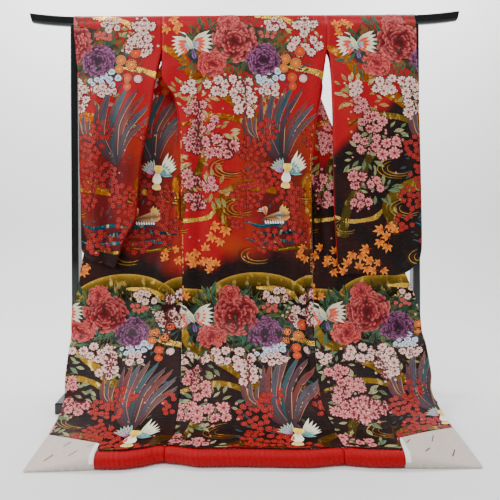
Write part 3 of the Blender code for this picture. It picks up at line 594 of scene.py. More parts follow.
def out_directions(net, plain_sides=()):
    """The unit directions out of the cloth's outer face. Along a plain side they have no part across."""
    along = np.gradient(net, axis=1)
    down = np.gradient(net, axis=0)
    out = np.cross(down, along)
    for side in plain_sides:
        out[:, 0 if side == "start" else -1, 0] = 0.0
    return out / np.maximum(np.linalg.norm(out, axis=2, keepdims=True), 1e-12)


def to_world(points):
    """Across, forward and height to the frame's own axes."""
    points = np.asarray(points, float)
    return np.stack([points[..., 0], BAR_Y - points[..., 1], points[..., 2]], axis=-1)


class Panel:
    """A finished net of cloth, which places flat points on its outer face."""

    def __init__(self, side, net, levels, folded_under=None, facing=1.0):
        """folded_under says for each level whether the columns before TURN_COLUMN lie behind the others."""
        self.side = side
        self.levels = levels
        out = out_directions(net, ("start", "end"))
        towards_viewer = np.sign(np.median(out[len(levels) // 2, TURN_COLUMN:, 1]))
        self.net, self.out = net.copy(), out * facing * towards_viewer
        if folded_under is not None:
            for values in (self.net, self.out):
                values[folded_under, :TURN_COLUMN] = values[folded_under, TURN_COLUMN][:, None]

    def find(self, across, down):
        """Row and column of these flat points, and which of them fall outside the cloth."""
        rows, columns = self.net.shape[:2]
        row = np.interp(down, self.levels, np.arange(rows))
        ends = [np.interp(row, np.arange(rows), self.net[:, end, 0]) for end in (0, -1)]
        share = (across - ends[0]) / (ends[1] - ends[0])
        outside = (share < 0) | (share > 1) | (down < self.levels[0]) | (down > self.levels[-1])
        outward = np.sign(self.net[0, -1, 0] - self.net[0, 0, 0])
        above = np.clip(row.astype(int), 0, rows - 2)
        column = np.empty(len(row))
        for r in np.unique(above):
            here = above == r
            at = outward * across[here]
            near, far = (np.interp(at, outward * self.net[k, :, 0], np.arange(columns)) for k in (r, r + 1))
            column[here] = near + (far - near) * (row[here] - r)
        return row, column, outside

    def place(self, across, down, lift):
        """These flat points on the cloth's outer face, and which of them fall outside it."""
        row, column, outside = self.find(across, down)
        r = np.clip(row.astype(int), 0, self.net.shape[0] - 2)
        c = np.clip(column.astype(int), 0, self.net.shape[1] - 2)
        below, aside = (row - r)[:, None], (column - c)[:, None]

        def blend(values):
            upper = values[r, c] * (1 - aside) + values[r, c + 1] * aside
            lower = values[r + 1, c] * (1 - aside) + values[r + 1, c + 1] * aside
            return upper * (1 - below) + lower * below

        return blend(self.net) + blend(self.out) * (wall() / 2 + lift)[:, None], outside


class SleevePanel(Panel):
    """A sleeve's rows follow its slanted and rounded lower edge, and its columns crowd towards the wrist."""

    def find(self, across, down):
        """Row and column of these flat points, and which of them fall outside the sleeve."""
        inside = np.array([INSIDE[self.side](d) for d in down])
        outer = np.array([OUTSIDE[self.side](d) for d in down])
        share = (across * SIGN[self.side] - inside) / (outer - inside)
        bottom = sleeve_bottom(self.side, np.clip(share, 0, 1))
        hanging = ARMHOLE_DROP + (down - ARMHOLE_DROP) / (bottom - ARMHOLE_DROP)
        level = np.where(down > ARMHOLE_DROP, hanging, down)
        outside = (share < 0) | (share > 1) | (level > ARMHOLE_DROP + 1) | (down < self.levels[0])
        row = np.interp(level, self.levels, np.arange(len(self.levels)))
        column = (1 - (1 - np.clip(share, 0, 1)) ** (1 / SLEEVE_CROWDING)) * (self.net.shape[1] - 1)
        return row, column, outside


# The woven pattern repeats once across each width of cloth. A place in the repeat is across from the middle
# of the width and down from the top of the bar, in metres. It comes again one repeat further down.
REPEAT_DOWN = 1.045
WIDTH_MIDDLE = {
    "back": 0.0, "front_left": -0.5, "front_right": 0.505, "sleeve_left": -0.63, "sleeve_right": 0.632,
}

# Peonies: across, down, width, thread colours
PEONIES = metres(
    3, (-40, 112, 170, "red"), (-128, 196, 112, "coral"), (70, 182, 132, "purple"), (-62, 36, 84, "coral"),
)

# Sprays of blossom: across, down, half width, half height, blossom width, blossoms, thread colours
BLOSSOMS = metres(
    5, (236, 46, 34, 20, 40, 4, "white"), (228, 122, 60, 38, 36, 11, "white"),
    (120, 40, 45, 22, 26, 6, "white"), (-65, 286, 90, 30, 36, 15, "white"),
    (0, 350, 34, 42, 36, 9, "white"), (-218, 290, 26, 24, 30, 5, "white"),
    (-188, 362, 34, 28, 34, 6, "pink"), (-152, 424, 44, 28, 34, 7, "pink"),
    (-196, 498, 26, 34, 36, 6, "pink"), (-104, 518, 62, 36, 40, 13, "pink"),
    (-216, 644, 30, 30, 40, 5, "pink"), (-142, 662, 28, 20, 30, 4, "pink"),
    (-194, 724, 30, 30, 34, 6, "pink"), (100, 300, 38, 18, 28, 6, "white"),
)

# Small flowers in dense beds: across, down, half width, half height, flower width, flowers, thread colours
BEDS = metres(
    5, (90, 452, 42, 36, 22, 13, "scarlet"), (30, 520, 62, 48, 22, 24, "scarlet"),
    (70, 626, 80, 50, 22, 30, "scarlet"), (10, 706, 62, 50, 21, 22, "scarlet"),
    (170, 712, 56, 56, 22, 20, "scarlet"), (190, 826, 44, 60, 22, 16, "scarlet"),
    (80, 876, 52, 44, 22, 16, "scarlet"), (-30, 800, 36, 34, 20, 8, "scarlet"),
    (90, 86, 34, 14, 18, 9, "coral"), (112, 250, 40, 28, 28, 9, "frost"), (60, 262, 24, 18, 20, 4, "frost"),
    (246, 470, 24, 46, 20, 8, "scarlet"),
)

# Round chrysanthemums: across, down, width, thread colours
POMPOMS = metres(
    3, (212, 152, 40, "ember"), (156, 180, 40, "amber"), (196, 198, 42, "amber"), (150, 216, 34, "amber"),
    (182, 252, 36, "ember"), (184, 286, 30, "ember"), (224, 256, 30, "button"),
)

# Maple sprays: across, down, half width, half height, leaf width, leaves
MAPLES = metres(
    5, (-262, 44, 40, 34, 52, 7), (-104, 852, 36, 42, 54, 9), (-190, 930, 46, 30, 52, 9),
    (-150, 972, 56, 22, 48, 8), (-262, 985, 30, 30, 50, 6), (210, 930, 34, 24, 44, 5),
)

# Leaves: across, down, half width, half height, leaf length, leaves, kind
LEAVES = metres(
    5, (-100, 105, 110, 75, 46, 46, "peony"), (30, 150, 130, 70, 44, 46, "peony"),
    (120, 115, 55, 36, 34, 20, "peony"), (-20, 236, 130, 36, 34, 34, "peony"),
    (-190, 150, 60, 70, 38, 22, "peony"), (190, 215, 60, 70, 22, 22, "steel"),
    (-180, 326, 80, 50, 34, 22, "cherry"), (-120, 470, 90, 50, 34, 24, "cherry"),
    (-180, 560, 70, 60, 36, 18, "cherry"), (-130, 690, 70, 36, 36, 16, "cherry"),
    (50, 320, 80, 50, 30, 20, "cherry"), (210, 80, 60, 36, 30, 14, "cherry"),
    (80, 560, 110, 110, 24, 30, "steel"), (100, 800, 110, 90, 24, 26, "steel"),
    (-230, 290, 40, 36, 32, 10, "cherry"), (150, 400, 60, 30, 30, 10, "steel"),
    (-20, 215, 130, 52, 34, 84, "needle"), (108, 120, 60, 60, 30, 46, "needle"),
    (-150, 90, 60, 60, 30, 46, "needle"), (186, 208, 56, 70, 26, 40, "needle"),
    (0, 40, 60, 30, 28, 24, "needle"), (60, 330, 80, 50, 28, 24, "needle"),
)

# Dark foliage under the peonies: the way of each bed, as across and down, then its width
BUSHES = metres(
    2, (((-200, 75), (-110, 120), (-10, 170), (80, 205), (160, 225)), 105),
    (((10, 60), (80, 105), (130, 160), (190, 200)), 70), (((-235, 85), (-205, 140), (-150, 200)), 60),
)

# Fans of tail feathers: across and down at the root, length, width, first and last turn in degrees, number
PLUMES = metres(4, (150, 585, 280, 19, -140, -72, 9), (52, 500, 120, 13, -158, -112, 4))

# Water under the duck: the way of each band, as across and down, then its width and colour
STREAMS = metres(
    2, (((10, 808), (60, 822), (130, 812), (200, 822)), 14, "teal"),
    (((30, 842), (90, 856), (150, 844), (236, 852)), 17, "deep"),
    (((0, 872), (70, 886), (140, 878), (210, 890)), 13, "teal"),
    (((60, 904), (130, 914), (200, 904), (262, 916)), 12, "gold"),
)

# Birds: across, down, size, turn in degrees, kind
BIRDS = metres(
    3, (158, 606, 150, 12, "songbird"), (112, 776, 125, 0, "duck"), (-205, 112, 160, -8, "crane"),
)

# Mist bands of gold: the way of each, as across and down, then its width and finish
GOLD_BANDS = metres(
    2, (((-320, 130), (-250, 165), (-200, 240), (-130, 262)), 40, "old_gold"),
    (((-130, 290), (-60, 330), (30, 400), (120, 430)), 40, "old_gold"),
    (((160, 206), (220, 218), (290, 240), (330, 280)), 26, "bright_gold"),
    (((40, 10), (120, 14), (170, 30), (200, 60)), 22, "bright_gold"),
    (((-240, 430), (-100, 400), (10, 430), (60, 500)), 26, "old_gold"),
    (((120, 690), (10, 660), (-90, 740), (-60, 850)), 50, "old_gold"),
    (((300, 600), (230, 660), (250, 760), (300, 820)), 40, "old_gold"),
    (((-300, 780), (-230, 800), (-150, 790), (-100, 740)), 18, "bright_gold"),
)

# Hills: across, down at the crest, half width, height
HILLS = metres(4, (40, 1000, 200, 110), (-230, 1060, 130, 70), (260, 1012, 110, 90))

# Stream rings: across, down, radius, rings
RIPPLES = metres(
    3, (-50, 600, 70, 7), (-10, 752, 66, 7), (50, 935, 60, 5), (-250, 820, 56, 6), (236, 700, 56, 5),
    (226, 420, 40, 5),
)

# Trunks and boughs: the way of each, as across and down, then the width at its two ends
TRUNKS = metres(
    3, (((-270, 860), (-244, 740), (-190, 640), (-160, 540)), 38, 24),
    (((-176, 590), (-140, 548), (-120, 530)), 20, 10), (((-240, 440), (-180, 400), (-120, 380)), 7, 4),
)

# Thread colours: the heart of a petal, its tip, its edge, and what sits in the flower's middle
THREADS = {
    "white": ("#862c30", "#d8a89c", "#f4e0d2", "#5c0c12"),
    "pink": ("#6c0e1a", "#c4525c", "#eeaea6", "#4c0810"),
    "red": ("#340106", "#8e0413", "#e67c76", "#e8c15a"),
    "coral": ("#580810", "#b0242a", "#ea7a6e", "#e8c15a"),
    "purple": ("#180216", "#4c0836", "#b06c9a", "#e8c15a"),
    "scarlet": ("#2c0104", "#860409", "#cc3028", "#e08a5a"),
    "frost": ("#2c3c70", "#a8b8d4", "#eef2f4", "#e8c15a"),
    "amber": ("#8a3208", "#d8681a", "#f4a452", "#f7cf8c"),
    "ember": ("#7a1a04", "#d63c0e", "#f07a38", "#f4a565"),
    "button": ("#a01828", "#f0c8c0", "#fff0e6", "#a81c20"),
    "maple": ("#8c2404", "#e2620c", "#f8a840", "#f7d58c"),
}
LEAF_THREADS = {
    "peony": (("#0c2219", "#2f6044"), ("#16342a", "#4f805c"), ("#2c3614", "#787c36")),
    "cherry": (("#3c4820", "#aab27a"), ("#4c4e28", "#d6cf9a"), ("#283c22", "#809870")),
    "steel": (("#121f2a", "#3c5a68"), ("#241a24", "#5c4a54"), ("#102622", "#34604f")),
    "needle": (("#0a140d", "#2b4431"), ("#142018", "#46583a"), ("#1e2a16", "#6c6c34")),
}
LEAF_ON_RED = {
    "peony": (("#18281a", "#566a3a"), ("#10281f", "#407450"), ("#48240a", "#98641e")),
    "cherry": (("#64340e", "#d2a662"), ("#6e521c", "#ecd696"), ("#4e4a1c", "#bcac68")),
    "steel": (("#2a161c", "#6a4448"), ("#1c2430", "#4a5c6c"), ("#560c0c", "#9a3024")),
    "needle": (("#14140a", "#4a4a24"), ("#10201a", "#3c5840"), ("#32160a", "#7c4e1c")),
}
BUSH_THREADS = {"red": ("#2c1e12", "#22281c"), "black": ("#141e16", "#1c2420")}
BAND_THREADS = {
    "bright": ("#e0b048", "#8a6420"), "red": ("#a85e18", "#742f0a"), "black": ("#8c6a20", "#4a3612"),
}
BARK_THREADS = {"red": "#6a3e12", "black": "#54481c", "mark": "#2e2210"}
STREAM_THREADS = {
    "teal": ("#164a5c", "#5a98a4"), "deep": ("#0c2c3c", "#26607a"), "gold": ("#6a4c14", "#c89a3c"),
}
FEATHER_THREADS = (
    ("#22121c", "#5a3a44"), ("#40141a", "#7c3830"), ("#241e28", "#54505c"), ("#341820", "#6e4a4c"),
    ("#12262c", "#34565c"),
)
FEATHER_RIMS = ("#b86a5a", "#c9a070")
HILL_THREADS = {
    "black": ("#c89a38", "#7c6020", "#33270e", "#140c07"),
    "red": ("#c87422", "#98501a", "#5c1c0a", "#3a0c08"),
}
HILL_STOPS = (0.0, 0.12, 0.5, 1.0)
HILL_BANDS = 12
HILL_COLUMNS = 97
HILL_FOOT = 1.05
HILL_NARROWING = 0.14
PETAL_SHADOW = "#3a060a"
MAPLE_SHADOW = (0.3, 0.02, 0.01)

# Half the width of a petal along its length
PETAL = ((0.0, 0.1), (0.34, 0.6), (0.66, 1.0), (0.88, 0.9), (1.0, 0.46))
FRILL = ((0.0, 0.2), (0.3, 0.62), (0.6, 0.98), (0.82, 1.02), (0.94, 0.86), (1.0, 0.5))
LEAF_WIDTH = {"peony": 0.32, "cherry": 0.38, "steel": 0.36, "needle": 0.16}
LEAF = ((0.0, 0.06), (0.25, 0.78), (0.5, 1.0), (0.78, 0.56), (1.0, 0.02))
BLADE = ((0.0, 0.3), (0.35, 1.0), (0.7, 0.7), (1.0, 0.03))

# The widths of ribbons from end to end, as shares of their width
BAND_SHAPE = (0.4, 1.0, 0.8, 1.1, 0.3)
BUSH_SHAPE = (0.3, 1.0, 0.85, 1.05, 0.3)
PLUME_SHAPE = (0.3, 0.55, 0.8, 1.0, 1.1, 1.0, 0.2)
RING_WIDTHS = (0.001, 0.0034, 0.0034, 0.001)

# The feathers of each bird, from the ones beneath to the ones on top, in shares of the bird's size: how many,
# on how many sides; across and its step, down; turn in degrees and its step; length and its step; width;
# bend; outline; thread colours
BIRD_FEATHERS = {
    "songbird": (
        (3, 1, 0.05, 0, 0.26, 62, 24, 0.22, 0, 0.11, 0, PETAL, ("#b87818", "#ecc452", "#fbe7a0")),
        (6, 1, 0.1, 0.012, 0.02, -82, 10, 0.56, -0.035, 0.095, 0, LEAF, ("#a8905a", "#eadfb8", "#fdf8e6")),
        (5, 1, 0.07, 0, 0.06, -72, 17, 0.34, 0, 0.1, 0, LEAF, ("#0a3c4a", "#1c7480", "#a8d0c8")),
        (6, 1, -0.1, 0, 0.04, -176, 15, 0.33, 0, 0.085, 0, LEAF, ("#0a3c4a", "#1c7480", "#efe2c0")),
        (3, 1, -0.08, 0, 0.06, -186, 22, 0.2, 0, 0.08, 0, LEAF, ("#4a1c50", "#8a4c90", "#e4c4dc")),
        (1, 1, 0.0, 0, -0.04, 82, 0, 0.36, 0, 0.25, 0, PETAL, ("#c8a45a", "#f6ead2", "#fffaf0")),
        (1, 1, 0.03, 0, 0.1, -96, 0, 0.26, 0, 0.26, 0, PETAL, ("#b87a10", "#ecbe34", "#f8e27c")),
        (1, 1, -0.05, 0, 0.14, 92, 0, 0.15, 0, 0.08, 0, PETAL, ("#7c1410", "#c8402c", "#f0a080")),
        (1, 1, 0.02, 0, -0.16, -112, 0, 0.07, 0, 0.03, 0, LEAF, ("#1c120c", "#3a2a20", "#5a4030")),
    ),
    "duck": (
        (4, 1, 0.18, 0, 0.0, -78, 22, 0.3, 0, 0.12, 0, LEAF, ("#7a4a08", "#cc9424", "#f4d884")),
        (1, 1, -0.34, 0, 0.12, -6, 0, 0.8, 0, 0.32, 0, PETAL, ("#3c1c10", "#7c4620", "#d9a868")),
        (1, 1, 0.0, 0, 0.03, 4, 0, 0.36, 0, 0.28, 0, PETAL, ("#04182c", "#124a68", "#e8e8da")),
        (8, 1, -0.3, 0.075, 0.17, 74, 0, 0.13, 0, 0.055, 0, PETAL, ("#c06a68", "#f4dcd4", "#ffffff")),
        (1, 1, -0.26, 0, 0.04, -104, 0, 0.28, 0, 0.18, 0, PETAL, ("#7c100c", "#cc3a20", "#f4c890")),
        (1, 1, -0.32, 0, -0.1, 190, 0, 0.17, 0, 0.1, 0, PETAL, ("#0c3c34", "#207060", "#f4ecd8")),
        (1, 1, -0.47, 0, -0.09, 176, 0, 0.08, 0, 0.04, 0, LEAF, ("#b02810", "#e05024", "#f0a060")),
    ),
    "crane": (
        (6, 1, 0.02, 0, 0.02, -32, 13, 0.5, 0, 0.12, 0.1, LEAF, ("#7c6a5c", "#d8c8ac", "#f8f0dc")),
        (6, 1, -0.02, 0, 0.02, 212, -13, 0.46, 0, 0.12, -0.1, LEAF, ("#7c6a5c", "#d8c8ac", "#f8f0dc")),
        (5, 2, 0.03, 0, 0.05, -22, 18, 0.32, 0, 0.11, 0, LEAF, ("#6c0c10", "#c42c1c", "#f08a60")),
        (3, 2, 0.02, 0, 0.07, -10, 30, 0.17, 0, 0.09, 0, LEAF, ("#2c2c4c", "#6c7ca4", "#c8d0dc")),
        (1, 1, 0.02, 0, 0.22, -108, 0, 0.4, 0, 0.13, 0, LEAF, ("#8c9464", "#ccc894", "#f4f0cc")),
        (1, 1, 0.0, 0, 0.16, 84, 0, 0.26, 0, 0.1, 0, PETAL, ("#2c1440", "#4c2468", "#9070a8")),
        (1, 1, -0.09, 0, -0.16, -124, 0, 0.18, 0, 0.035, -0.4, LEAF, ("#c8c0b0", "#f0e8dc", "#ffffff")),
    ),
}

# Petals blown across the ground: how many, from and to where in the repeat, length, width
STREWN = 16
STREWN_FROM, STREWN_TO = (-0.29, 0.24), (0.29, 1.0)
STREWN_LONG, STREWN_WIDE = 0.009, 0.006

# Gold stitches along the back's side seams, partly painted highlight of the seam's edge: drops from, to and
# apart, how far inside the seam, length, width
STITCHES = (0.43, 1.0, 0.011)
STITCH_INSIDE = 0.005
STITCH_LONG = (0.007, 0.015)
STITCH_WIDE = 0.0036
BARK_MARK_STEP = 0.009
LEAF_BEND = 0.12

# How far the kinds of float lie above the cloth, bottom first, and the step from one float to the next within
# a kind. The steps are larger than a float's sag over a bend of the cloth. Millimetres.
LAYERS = {
    "hill": 0.2, "band": 0.32, "ripple": 0.44, "trunk": 0.48, "leaf": 0.58, "plume": 0.74, "bed": 0.96,
    "spray": 1.34, "pompom": 1.5, "peony": 1.6, "bird": 2.3,
}
LIFT_STEPS = 7
LIFT_STEP = 0.05
FINE_LAYERS = ("hill", "band", "ripple", "trunk", "leaf")
FINE_STEP = 0.016
# How far the parts of one float lie above each other, in metres
PETAL_LIFT = 0.040e-3
PEONY_LIFT = 12e-6
RIB_LIFT = 12e-6
FEATHER_LIFT = 16e-6
LOBE_LIFT = 2e-6
EYE_LIFT = 20e-6
MARK_LIFT = 30e-6
SILK, GOLD, FOIL = 0, 1, 2


def mix(a, b, share):
    """Between two colours, at one share or at a share for each point."""
    share = np.asarray(share, float)[..., None]
    return np.asarray(a) * (1 - share) + np.asarray(b) * share
def smooth_way(way):
    """Across and down along a way through these points, each as a smooth line over shares from 0 to 1."""
    stops = np.linspace(0, 1, len(way))
    return [Curve([(stop, point[axis]) for stop, point in zip(stops, way)]) for axis in (0, 1)]
class Floats:
    """Flat shapes of coloured thread, gathered one by one before they are laid on a panel."""

    def __init__(self, seed, red_above):
        self.random = np.random.default_rng(seed)
        self.red_above = red_above
        self.points, self.lifts, self.colours, self.faces, self.finish = [], [], [], [], []
        self.count = 0
        self.turned = 0

    def lift(self, layer):
        """A height of its own within the layer, so that no two floats share one."""
        self.turned = (self.turned + 3) % LIFT_STEPS
        step = FINE_STEP if layer in FINE_LAYERS else LIFT_STEP
        return (LAYERS[layer] + step * self.turned) / 1000

    def add(self, points, faces, colours, lift, finish=SILK):
        """One float: its flat points with their colours, its faces, and its lift off the cloth."""
        points = np.asarray(points, float)
        self.points.append(points)
        self.lifts.append(np.full(len(points), lift) if np.isscalar(lift) else np.asarray(lift))
        self.colours.append(np.broadcast_to(np.asarray(colours, float), (len(points), 3)))
        self.faces += [tuple(self.count + i for i in face) for face in faces]
        self.finish += [finish] * len(faces)
        self.count += len(points)

    def blade(
        self, foot, turn, length, width, profile, heart, tip, edge, lift, notch=0.0, bend=0.0, finish=SILK,
        dark_sides=False,
    ):
        """A petal, leaf or feather: three columns of points along its length."""
        direction = np.array([cos(turn), sin(turn)])
        aside = np.array([-direction[1], direction[0]])
        points, colours = [], []
        for along, half in profile:
            middle = foot + direction * length * along + aside * bend * length * along * along
            reach = length * notch if along == 1.0 else 0.0
            shade = mix(heart, tip, min(along * 1.5, 1.0))
            points += [middle - aside * half * width / 2, middle - direction * reach]
            points.append(middle + aside * half * width / 2)
            if dark_sides:
                outer = mix(mix(shade, heart, 0.55), edge, max(along - 0.6, 0.0) / 0.4)
                shade = mix(shade, edge, max(along - 0.8, 0.0) / 0.2 * 0.9)
            else:
                outer = mix(shade, edge, 0.25 + 0.75 * along)
            colours += [outer, shade, outer]
        faces = []
        for r in range(len(profile) - 1):
            for c in (0, 1):
                a = r * 3 + c
                faces.append((a, a + 1, a + 4, a + 3))
        self.add(points, faces, colours, lift, finish)

    def disc(self, centre, radius, inner, outer, lift, sides=8, finish=SILK):
        """A round patch in two rings."""
        points, colours = [centre], [inner]
        for reach in (0.55, 1.0):
            for k in range(sides):
                turn = 2 * pi * k / sides
                points.append(centre + radius * reach * np.array([cos(turn), sin(turn)]))
                colours.append(mix(inner, outer, reach))
        faces = [(0, k + 1, (k + 1) % sides + 1) for k in range(sides)]
        for k in range(sides):
            a, b = k + 1, (k + 1) % sides + 1
            faces.append((a, a + sides, b + sides, b))
        self.add(points, faces, colours, lift, finish)

    def ribbon(self, way, widths, colour_a, colour_b, lift, finish=SILK, steps=26, columns=3):
        """A strip along a smooth way, darker at its rims."""
        fine = np.linspace(0, 1, steps)
        across, down = smooth_way(way)
        line = np.array([(across(t), down(t)) for t in fine])
        along = np.gradient(line, axis=0)
        along /= np.maximum(np.linalg.norm(along, axis=1, keepdims=True), 1e-9)
        aside = np.stack([-along[:, 1], along[:, 0]], 1)
        half = np.interp(fine, np.linspace(0, 1, len(widths)), widths)[:, None] / 2
        places = np.linspace(-1, 1, columns)
        middle = mix(colour_a, colour_b, fine)
        points = np.concatenate([line + aside * half * place for place in places])
        colours = np.concatenate([middle * (0.68 if abs(place) == 1 else 1.0) for place in places])
        faces = []
        for i in range(steps - 1):
            for band in range(columns - 1):
                a = band * steps + i
                faces.append((a, a + 1, a + steps + 1, a + steps))
        self.add(points, faces, colours, lift, finish)

    def blossom(self, centre, width, key, layer, petals=5):
        """An open flower of notched petals over its own dark outline, with its heart darker."""
        heart, tip, edge, middle = (linear(c) for c in THREADS[key])
        base = self.lift(layer)
        start = self.random.uniform(0, 2 * pi)
        squash = self.random.uniform(0.8, 1.0)
        shadow = mix(linear(PETAL_SHADOW), heart, 0.35)
        self.disc(centre, width * 0.53, shadow, shadow, base, 10)
        tone = self.random.uniform(0.0, 0.35)
        for k in range(petals):
            turn = start + 2 * pi * k / petals + self.random.uniform(-0.08, 0.08)
            size = width / 2 * self.random.uniform(0.92, 1.05)
            shape = size * (squash if k % 2 else 1.0)
            self.blade(
                centre, turn, shape, size * 0.8, PETAL, mix(heart, tip, tone), tip, edge,
                base + PETAL_LIFT * (1 + 0.04 * k), notch=0.26,
            )
        self.disc(centre, width * 0.11, middle, heart, base + PETAL_LIFT * 1.5, 6)

    def spray(self, row, layer):
        """Blossoms and buds set close together, none in the same place."""
        across, down, wide, high, size, count, key = row
        for x, y in self.spots(across, down, wide, high, count, size * 0.78):
            self.blossom(np.array([x, y]), size * self.random.uniform(0.95, 1.26), key, layer)
        heart, tip, edge, _ = (linear(c) for c in THREADS[key])
        for x, y in self.spots(across, down, wide * 1.5, high * 1.5, count, size * 0.5):
            turn = self.random.uniform(0, 2 * pi)
            self.blade(
                np.array([x, y]), turn, size * 0.34, size * 0.26, LEAF, heart, tip, edge, self.lift("bed"),
            )

    def spots(self, across, down, wide, high, count, apart):
        """Places inside an oval, kept apart as far as there is room."""
        found = []
        for _ in range(count * 14):
            turn = self.random.uniform(0, 2 * pi)
            reach = sqrt(self.random.uniform(0, 1))
            x = across + wide * reach * cos(turn)
            y = down + high * reach * sin(turn)
            if all(hypot(x - a, y - b) > apart for a, b in found):
                found.append((x, y))
            if len(found) == count:
                break
        return found

    def peony(self, centre, width, key):
        """Rings of broad frilled petals, each dark at its foot and pale along its edge."""
        heart, tip, edge, _ = (linear(c) for c in THREADS[key])
        base = LAYERS["peony"] / 1000
        rings = (
            (0.5, 11, 0.24), (0.44, 10, 0.23), (0.37, 9, 0.22), (0.3, 8, 0.2), (0.23, 7, 0.18),
            (0.15, 5, 0.15),
        )
        step = 0
        for reach, petals, long in rings:
            for k in range(petals):
                turn = 2 * pi * (k + self.random.uniform(-0.25, 0.25)) / petals + reach * 9
                out = np.array([cos(turn), sin(turn) * 0.88])
                size = width * long * self.random.uniform(0.85, 1.2)
                foot = centre + out * (width * reach - size * 0.9)
                leaning = atan2(out[1] - 0.25, out[0]) + self.random.uniform(-0.45, 0.45)
                bright = self.random.uniform(0.0, 1.0)
                body = mix(mix(heart, tip, 0.55), tip, bright)
                step += 1
                self.blade(
                    foot, leaning, size, size * self.random.uniform(0.72, 1.05), FRILL,
                    heart, body, mix(body, edge, 0.45 + 0.55 * bright), base + PEONY_LIFT * step,
                    notch=self.random.uniform(0.04, 0.22), bend=self.random.uniform(-0.3, 0.3),
                    dark_sides=True,
                )

    def pompom(self, centre, width, key):
        """A round chrysanthemum: three rings of short petals on a dark disc."""
        heart, tip, edge, middle = (linear(c) for c in THREADS[key])
        base = self.lift("pompom")
        self.disc(centre, width * 0.52, linear(PETAL_SHADOW), linear(PETAL_SHADOW), base, 14)
        for ring, (reach, petals) in enumerate(((0.5, 16), (0.34, 12), (0.19, 8))):
            for k in range(petals):
                turn = 2 * pi * (k + 0.5 * ring) / petals
                out = np.array([cos(turn), sin(turn)])
                long = width * 0.2
                self.blade(
                    centre + out * (width * reach - long), turn, long, width * 0.17, PETAL,
                    heart, tip, edge, base + PETAL_LIFT * (ring + 1) * 0.8, dark_sides=True,
                )
        self.disc(centre, width * 0.1, middle, tip, base + PETAL_LIFT * 3.2, 8)

    def maple(self, centre, width):
        """A maple leaf of five pointed lobes and its stalk."""
        heart, tip, edge, _ = (linear(c) for c in THREADS["maple"])
        base = self.lift("spray")
        start = self.random.uniform(0, 2 * pi)
        shade = self.random.uniform(-0.1, 0.35)
        for k, long in enumerate((1.0, 0.86, 0.86, 0.62, 0.62)):
            turn = start + (0, 0.75, -0.75, 1.6, -1.6)[k]
            self.blade(
                centre, turn, width * 0.56 * long, width * 0.19, BLADE,
                mix(heart, MAPLE_SHADOW, max(shade, 0)), tip, edge, base + LOBE_LIFT * k,
            )
        self.blade(
            centre, start + pi, width * 0.3, width * 0.04, BLADE, heart, heart, tip, base + RIB_LIFT,
        )

    def leaves(self, row, over_red):
        """Leaves that spread from the middle of their oval, each with a pale rib. Needles point one way."""
        across, down, wide, high, long, count, kind = row
        choice = (LEAF_ON_RED if over_red else LEAF_THREADS)[kind]
        for x, y in self.spots(across, down, wide, high, count, long * 0.42):
            foot = np.array([x, y])
            dark, pale = (linear(c) for c in choice[self.random.integers(len(choice))])
            turn = atan2(y - down, x - across) + self.random.uniform(-0.9, 0.9)
            size = long * self.random.uniform(0.7, 1.25)
            width = size * LEAF_WIDTH[kind]
            if kind == "needle":
                turn = -pi / 2 + self.random.uniform(-0.9, 0.9)
            base = self.lift("leaf")
            self.blade(foot, turn, size, width, LEAF, dark, dark, pale, base, bend=LEAF_BEND)
            if kind != "needle":
                rib = mix(dark, pale, 0.8)
                self.blade(
                    foot, turn, size * 0.9, width * 0.12, BLADE, rib, rib, pale, base + RIB_LIFT,
                    bend=LEAF_BEND,
                )

    def plume(self, row):
        """A fan of long curved feathers with rounded ends, a darker eye in each and a bright rim."""
        across, down, long, width, first, last, feathers = row
        foot = np.array([across, down])
        base = self.lift("plume")
        for k in range(feathers):
            share = k / (feathers - 1)
            turn = radians(first + (last - first) * share)
            size = long * (0.8 + 0.2 * sin(pi * share)) * self.random.uniform(0.9, 1.06)
            direction = np.array([cos(turn), sin(turn)])
            aside = np.array([-direction[1], direction[0]])
            bend = 0.95 - 0.55 * share

            def line(stops, off=0.0):
                """Points along the feather's curved shaft, or beside it."""
                sides = [bend * size * t * (t - 0.35) + off for t in stops]
                return [foot + direction * size * t + aside * side for t, side in zip(stops, sides)]

            dark, pale = (linear(c) for c in FEATHER_THREADS[k % len(FEATHER_THREADS)])
            lift = base + PETAL_LIFT * ((k * 3) % feathers)
            widths = [share * width for share in PLUME_SHAPE]
            self.ribbon(line((0, 0.25, 0.5, 0.75, 1)), widths, dark, pale, lift, steps=20)
            self.ribbon(
                line((0.55, 0.72, 0.9)), (0.001, width * 0.52, 0.001), pale, mix(dark, pale, 0.2),
                lift + EYE_LIFT, steps=8,
            )
            rim = linear(FEATHER_RIMS[k % 2])
            beside = line((0.15, 0.5, 0.95), width * 0.46)
            self.ribbon(beside, (0.001, 0.0026, 0.001), rim, rim, lift + MARK_LIFT, steps=12)

    def bird(self, row):
        """A bird of overlapping feathers."""
        across, down, size, degrees, kind = row
        turn = radians(degrees)
        c, s = cos(turn), sin(turn)
        base = self.lift("bird")
        step = 0
        for feather in BIRD_FEATHERS[kind]:
            count, sides, x, x_step, y, start, swing, long, long_step, wide, bend, profile, colours = feather
            heart, tip, edge = (linear(colour) for colour in colours)
            for k in range(count):
                for side in (1, -1)[:sides]:
                    step += 1
                    out = side * (x + x_step * k)
                    aim = start + swing * k if side > 0 else 180 - (start + swing * k)
                    foot = np.array([across + size * (out * c - y * s), down + size * (out * s + y * c)])
                    self.blade(
                        foot, turn + radians(aim), size * (long + long_step * k), size * wide, profile,
                        heart, tip, edge, base + FEATHER_LIFT * step, bend=bend,
                    )

